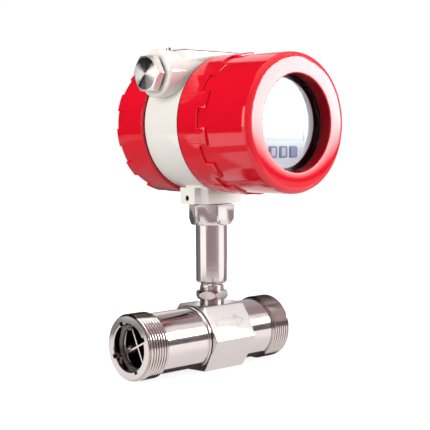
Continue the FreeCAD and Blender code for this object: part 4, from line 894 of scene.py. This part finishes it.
def make_covers():
    seat = FRONT_FACE - LIP
    back = GLASS_BACK - 3.5
    cavity = COVER_RADIUS - 4
    glass_way = GLASS_RADIUS + 0.2
    window_end = [(FRONT_FACE, WINDOW_RADIUS, 0.9), (LIP_BEAD, WINDOW_RADIUS, 0.2),
                  (LIP_BEAD, BEAD_RADIUS), (seat, BEAD_RADIUS), (seat, glass_way),
                  (back, glass_way), (back, cavity), (COVER_THREAD + 1, cavity),
                  (COVER_THREAD, COVER_BORE)]
    front = cover_shell("window_cover", FRONT, FRONT_FACE, 5.2, LUG_START, [], window_end)
    finish(front, "front_lid", "red_enamel", RED_ENAMEL_PAINTED_SHADE, "front_cover", sharp=25.0)
    floor = REAR_FACE - 4.5
    hollow = [(floor, 0), (floor, cavity), (COVER_THREAD + 1, cavity), (COVER_THREAD, COVER_BORE)]
    rear = cover_shell("blind_cover", REAR, REAR_FACE, 8.5, -LUG_START - LUG_ANGLE, hollow,
                       [(REAR_FACE, 0)])
    finish(rear, "rear_lid", "red_enamel", RED_ENAMEL_PAINTED_SHADE, "rear_cover", sharp=25.0)
    for name, place, body in (("front_cover_seal", FRONT, "front_seal"),
                              ("rear_cover_seal", REAR, "rear_seal")):
        seal = turned(name + "_ring", [(SHOULDER + 0.05, COVER_BORE),
                                       (SHOULDER + 0.05, BODY_RADIUS),
                                       (RIM_START - 0.05, BODY_RADIUS),
                                       (RIM_START - 0.05, COVER_BORE)], place)
        finish(seal, body, "black_rubber", RUBBER, name)


def make_window():
    gasket = turned("window_gasket_ring", rounded([
        (GLASS_FRONT, WINDOW_RADIUS, 0.3), (LIP_BEAD, WINDOW_RADIUS, 0.3),
        (LIP_BEAD, BEAD_RADIUS), (GASKET_FRONT, BEAD_RADIUS),
        (GASKET_FRONT, GLASS_RADIUS), (GLASS_FRONT, GLASS_RADIUS)]), FRONT)
    finish(gasket, "front_lid", "black_rubber", RUBBER, "window_gasket")
    pane = turned("window_pane", rounded([
        (GLASS_BACK, 0), (GLASS_BACK, GLASS_RADIUS, 0.5), (GLASS_FRONT, GLASS_RADIUS, 0.5),
        (GLASS_FRONT, 0)]), FRONT)
    finish(pane, "front_lid", "window_glass", GLASS, "window_glass")


# ---- conduit fittings -------------------------------------------------------------------------
def make_plug():
    start = BOSS_END + 2.0
    end = -low_of("conduit_plug").x
    across = high_of("conduit_plug").z - low_of("conduit_plug").z
    head = turned_hexagon("plug_head", start, end, across, LEFT, 0.3, 1.6, 30, 0, 0.4, 0.9)
    shank = rod("plug_shank", LEFT, [(start - 16, 9.9)], start + 1)
    combine(head, [shank], "UNION")
    finish(head, "head", "plated_fitting", TURNED_FACE, "conduit_plug")
    seal = turned("plug_seal_ring", rounded([(BOSS_END, 10), (BOSS_END, 11.5, 0.6),
                                             (start, 11.5, 0.6), (start, 10)]), LEFT, FINE)
    finish(seal, "head", "black_rubber", RUBBER, "conduit_plug_seal")


# ---- the rest of the frame --------------------------------------------------------------------
def dress_frame():
    """Give every solid that stays its slot's finish."""
    slots = {row["node"]: row["material_slot"] for row in frame["record"]["subparts"]}
    for name, thing in frame["nodes"].items():
        thing.data.materials.clear()
        thing.data.materials.append(node_finish(name, slots[name]))


def node_finish(name, slot):
    if name in KEY_CAPS:
        return KEY_CAPS[name]
    if name == "neck_set_screw":
        return BLACK_SCREW
    if name == "window_ring":
        return RING_STEEL
    return SLOT_FINISH[slot]


# ---- stage ------------------------------------------------------------------------------------
def seen_rays(tree):
    """1 for rays from the camera, off a mirror or through glass; 0 for those that light."""
    path = add(tree, "ShaderNodeLightPath").outputs
    first = number(tree, "MAXIMUM", path["Is Camera Ray"], path["Is Glossy Ray"])
    return number(tree, "MAXIMUM", first, path["Is Transmission Ray"])


def make_world():
    world = bpy.data.worlds.new("studio")
    world.use_nodes = True
    bpy.context.scene.world = world
    tree = world.node_tree
    tree.nodes.clear()
    fill, white = [add(tree, "ShaderNodeBackground", (1, 1, 1, 1), level).outputs[0]
                   for level in (FILL_LEVEL, 1.0)]
    mix = add(tree, "ShaderNodeMixShader", seen_rays(tree), fill, white)
    add(tree, "ShaderNodeOutputWorld", mix.outputs[0])


def make_floor():
    size = 3.0
    mesh = bpy.data.meshes.new("floor")
    corners = [(-size, -size, 0), (size, -size, 0), (size, size, 0), (-size, size, 0)]
    mesh.from_pydata([Vector(c) - Z * 0.0001 for c in corners], [], [(0, 1, 2, 3)])
    floor = as_object("floor", mesh)
    material, shader = principled("white floor", Roughness=0.6)
    shader.inputs["Base Color"].default_value = linear(165, 163, 164)
    shader.inputs["Emission Color"].default_value = (1, 1, 1, 1)
    tree = material.node_tree
    glow = number(tree, "MULTIPLY", seen_rays(tree), FLOOR_LEVEL)
    feed(tree, shader.inputs["Emission Strength"], glow)
    mesh.materials.append(material)


def glow_sheet(name, points, faces, level, tint=(1, 1, 1), low=0.0, fade=0.0):
    """A glowing sheet that only mirror-like surfaces show; a fade clears its lower edge."""
    mesh = bpy.data.meshes.new(name)
    mesh.from_pydata(points, [], faces)
    screen = as_object(name, mesh)
    material = bpy.data.materials.new(name)
    material.use_nodes = True
    tree = material.node_tree
    tree.nodes.clear()
    shown = add(tree, "ShaderNodeEmission", (*tint, 1), level).outputs[0]
    if fade:
        height = coordinates(tree, object_place(tree))["Z"]
        share = add(tree, "ShaderNodeMapRange", interpolation_type="SMOOTHSTEP",
                    named={"Value": height, "From Min": low, "From Max": low + fade})
        clear = add(tree, "ShaderNodeBsdfTransparent").outputs[0]
        mix = add(tree, "ShaderNodeMixShader", share.outputs["Result"], clear, shown)
        shown = mix.outputs[0]
    add(tree, "ShaderNodeOutputMaterial", shown)
    material.cycles.emission_sampling = "NONE"
    mesh.materials.append(material)
    for rays in ("camera", "diffuse", "transmission", "shadow"):
        setattr(screen, "visible_" + rays, False)


def arc(first, last):
    """Evenly spaced directions round the stem between two angles in degrees."""
    spread = [first + (last - first) * index / FLAG_STEPS for index in range(FLAG_STEPS + 1)]
    return [Vector((math.cos(math.radians(a)), math.sin(math.radians(a)), 0)) for a in spread]


def strip(name, pairs, level, tint=(1, 1, 1), low=0.0, fade=0.0):
    """A screen between two rows of points."""
    points = [point for pair in pairs for point in pair]
    faces = [(2 * k, 2 * k + 2, 2 * k + 3, 2 * k + 1) for k in range(FLAG_STEPS)]
    glow_sheet(name, points, faces, level, tint, low, fade)


def flag(name, first, last, low, high, reach, level, tint=(1, 1, 1), fade=0.0):
    """An upright curved screen round the stem."""
    pairs = [(spot * reach + Z * low, spot * reach + Z * high) for spot in arc(first, last)]
    strip(name, pairs, level, tint, low, fade)


def flat_flag(name, corners, level, tint=(1, 1, 1)):
    """A flat screen by its corners in millimetres."""
    glow_sheet(name, [Vector(c) * MM for c in corners], [(0, 1, 2, 3)], level, tint)


def floor_flag(name, first, last, near, far, level):
    """A flat ring sector just above the floor."""
    lift = Z * 0.0005
    strip(name, [(spot * near + lift, spot * far + lift) for spot in arc(first, last)], level)


def make_flags():
    """Screens that give the metal its dark bands and keep the enamel's colour deep."""
    mauve = (1.0, 0.79, 0.87)
    flag("camera side screen", -173, -119, 0.0, 0.45, 0.34, 0.47, mauve)
    flag("camera side step", -119, -98, 0.0, 0.45, 0.34, 0.52, mauve)
    flag("camera side rise", -98, -84, 0.0, 0.45, 0.34, 0.68, (1.0, 0.83, 0.89))
    flag("camera side edge", -84, -76, 0.0, 0.45, 0.34, 1.0, (1.0, 0.92, 0.93))
    flag("nut strip", -168, -159.2, 0.091, 0.125, 0.335, 1.6)
    flag("right low screen", -76, -36, 0.0, 0.088, 0.34, 1.7)
    flag("right nut screen", -76, -30, 0.088, 0.125, 0.34, 1.0, (1.0, 0.97, 0.96))
    flag("left low screen", 138, 187, 0.0, 0.11, 0.34, 1.7)
    flag("right dark screen", -79, -20, 0.085, 0.140, 0.58, 0.06)
    flag("window softbox", -68, -34, 0.130, 0.31, 0.56, 17.0, (1, 1, 1), 0.075)
    flag("window top softbox", -68, -44, 0.31, 0.40, 0.56, 17.0)
    flag("side softbox", -44, -26, 0.31, 0.40, 0.56, 1.2)
    flag("side low softbox", -34, -26, 0.14, 0.31, 0.56, 1.8)
    flag("high softbox", -68, -26, 0.40, 0.75, 0.56, 1.2)
    flag("back right low screen", -30, 12, 0.0, 0.125, 0.34, 0.48, mauve)
    flag("back right screen", -26, 12, 0.0, 0.9, 0.62, 0.50, mauve)
    flag("back screen", 12, 45, 0.0, 1.4, 0.64, 0.55, (1.0, 0.92, 0.96))
    flag("back low screen", 50, 100, 0.0, 0.088, 0.34, 0.12)
    flag("back left low screen", 100, 138, 0.0, 0.088, 0.34, 0.28)
    flag("back nut screen", 50, 138, 0.088, 0.125, 0.34, 0.56, (1.0, 0.93, 0.95))
    flag("back left screen", 62, 152, 0.0, 1.4, 0.64, 0.02)
    flag("head top strip", 45, 62, 0.1, 0.75, 0.64, 1.1, (1.0, 0.95, 0.97))
    flag("left strip", 152, 183, 0.13, 0.42, 0.60, 4.5)
    flag("left screen", 141, 187, 0.42, 1.4, 0.64, 0.03)
    floor_flag("back left floor", 52, 184, 0.24, 0.64, 0.30)
    floor_flag("back left near floor", 52, 140, 0.11, 0.24, 0.42)
    flat_flag("pipe flag", [(-70, -75, 22), (230, -75, 22), (230, -75, 47), (-70, -75, 47)],
              0.20, mauve)
    # Painted shadow: a dark sheet on the floor under the pipe, which mirror-like surfaces show in
    # place of the floor's shade there.
    flat_flag("painted shadow sheet under the pipe", [(-76, -13, 0.5), (70, -13, 0.5), (70, 70, 0.5), (-76, 70, 0.5)],
              0.07, mauve)


def lamp(name, place, target, width, height, power):
    data = bpy.data.lights.new(name, "AREA")
    data.shape = "RECTANGLE"
    data.size = width
    data.size_y = height
    data.energy = power
    light = bpy.data.objects.new(name, data)
    bpy.context.scene.collection.objects.link(light)
    light.visible_glossy = False
    light.location = place
    light.rotation_euler = (Vector(target) - Vector(place)).to_track_quat("-Z", "Y").to_euler()


def make_lights():
    head = (0, 0, HEAD_Z * MM)
    lamp("right lamp", (0.5, -1.2, 0.35), head, 0.5, 0.5, 12)
    lamp("left lamp", (-1.3, 0.15, 0.5), head, 0.7, 0.9, 11)
    lamp("top lamp", (0.0, -0.1, 1.4), head, 0.9, 0.9, 7)


def make_camera():
    data = bpy.data.cameras.new("camera")
    data.sensor_width = 36
    data.lens = 91.98
    data.shift_x = -0.0517
    data.shift_y = 0.0095
    data.clip_start = 0.05
    camera = bpy.data.objects.new("camera", data)
    bpy.context.scene.collection.objects.link(camera)
    right = Vector((0.71848, -0.69553, -0.00498))
    up = Vector((0.05274, 0.04734, 0.99749))
    back = Vector((-0.69355, -0.71693, 0.07069))
    turn = Matrix((right, up, back)).transposed().to_4x4()
    camera.matrix_world = Matrix.Translation((-0.55464, -0.60104, 0.16838)) @ turn
    bpy.context.scene.camera = camera


make_pipe()
make_stem()
make_housing()
make_covers()
make_window()
make_plug()
dress_frame()
make_world()
make_floor()
make_flags()
make_lights()
make_camera()
bpy.context.scene.view_settings.view_transform = "Standard"
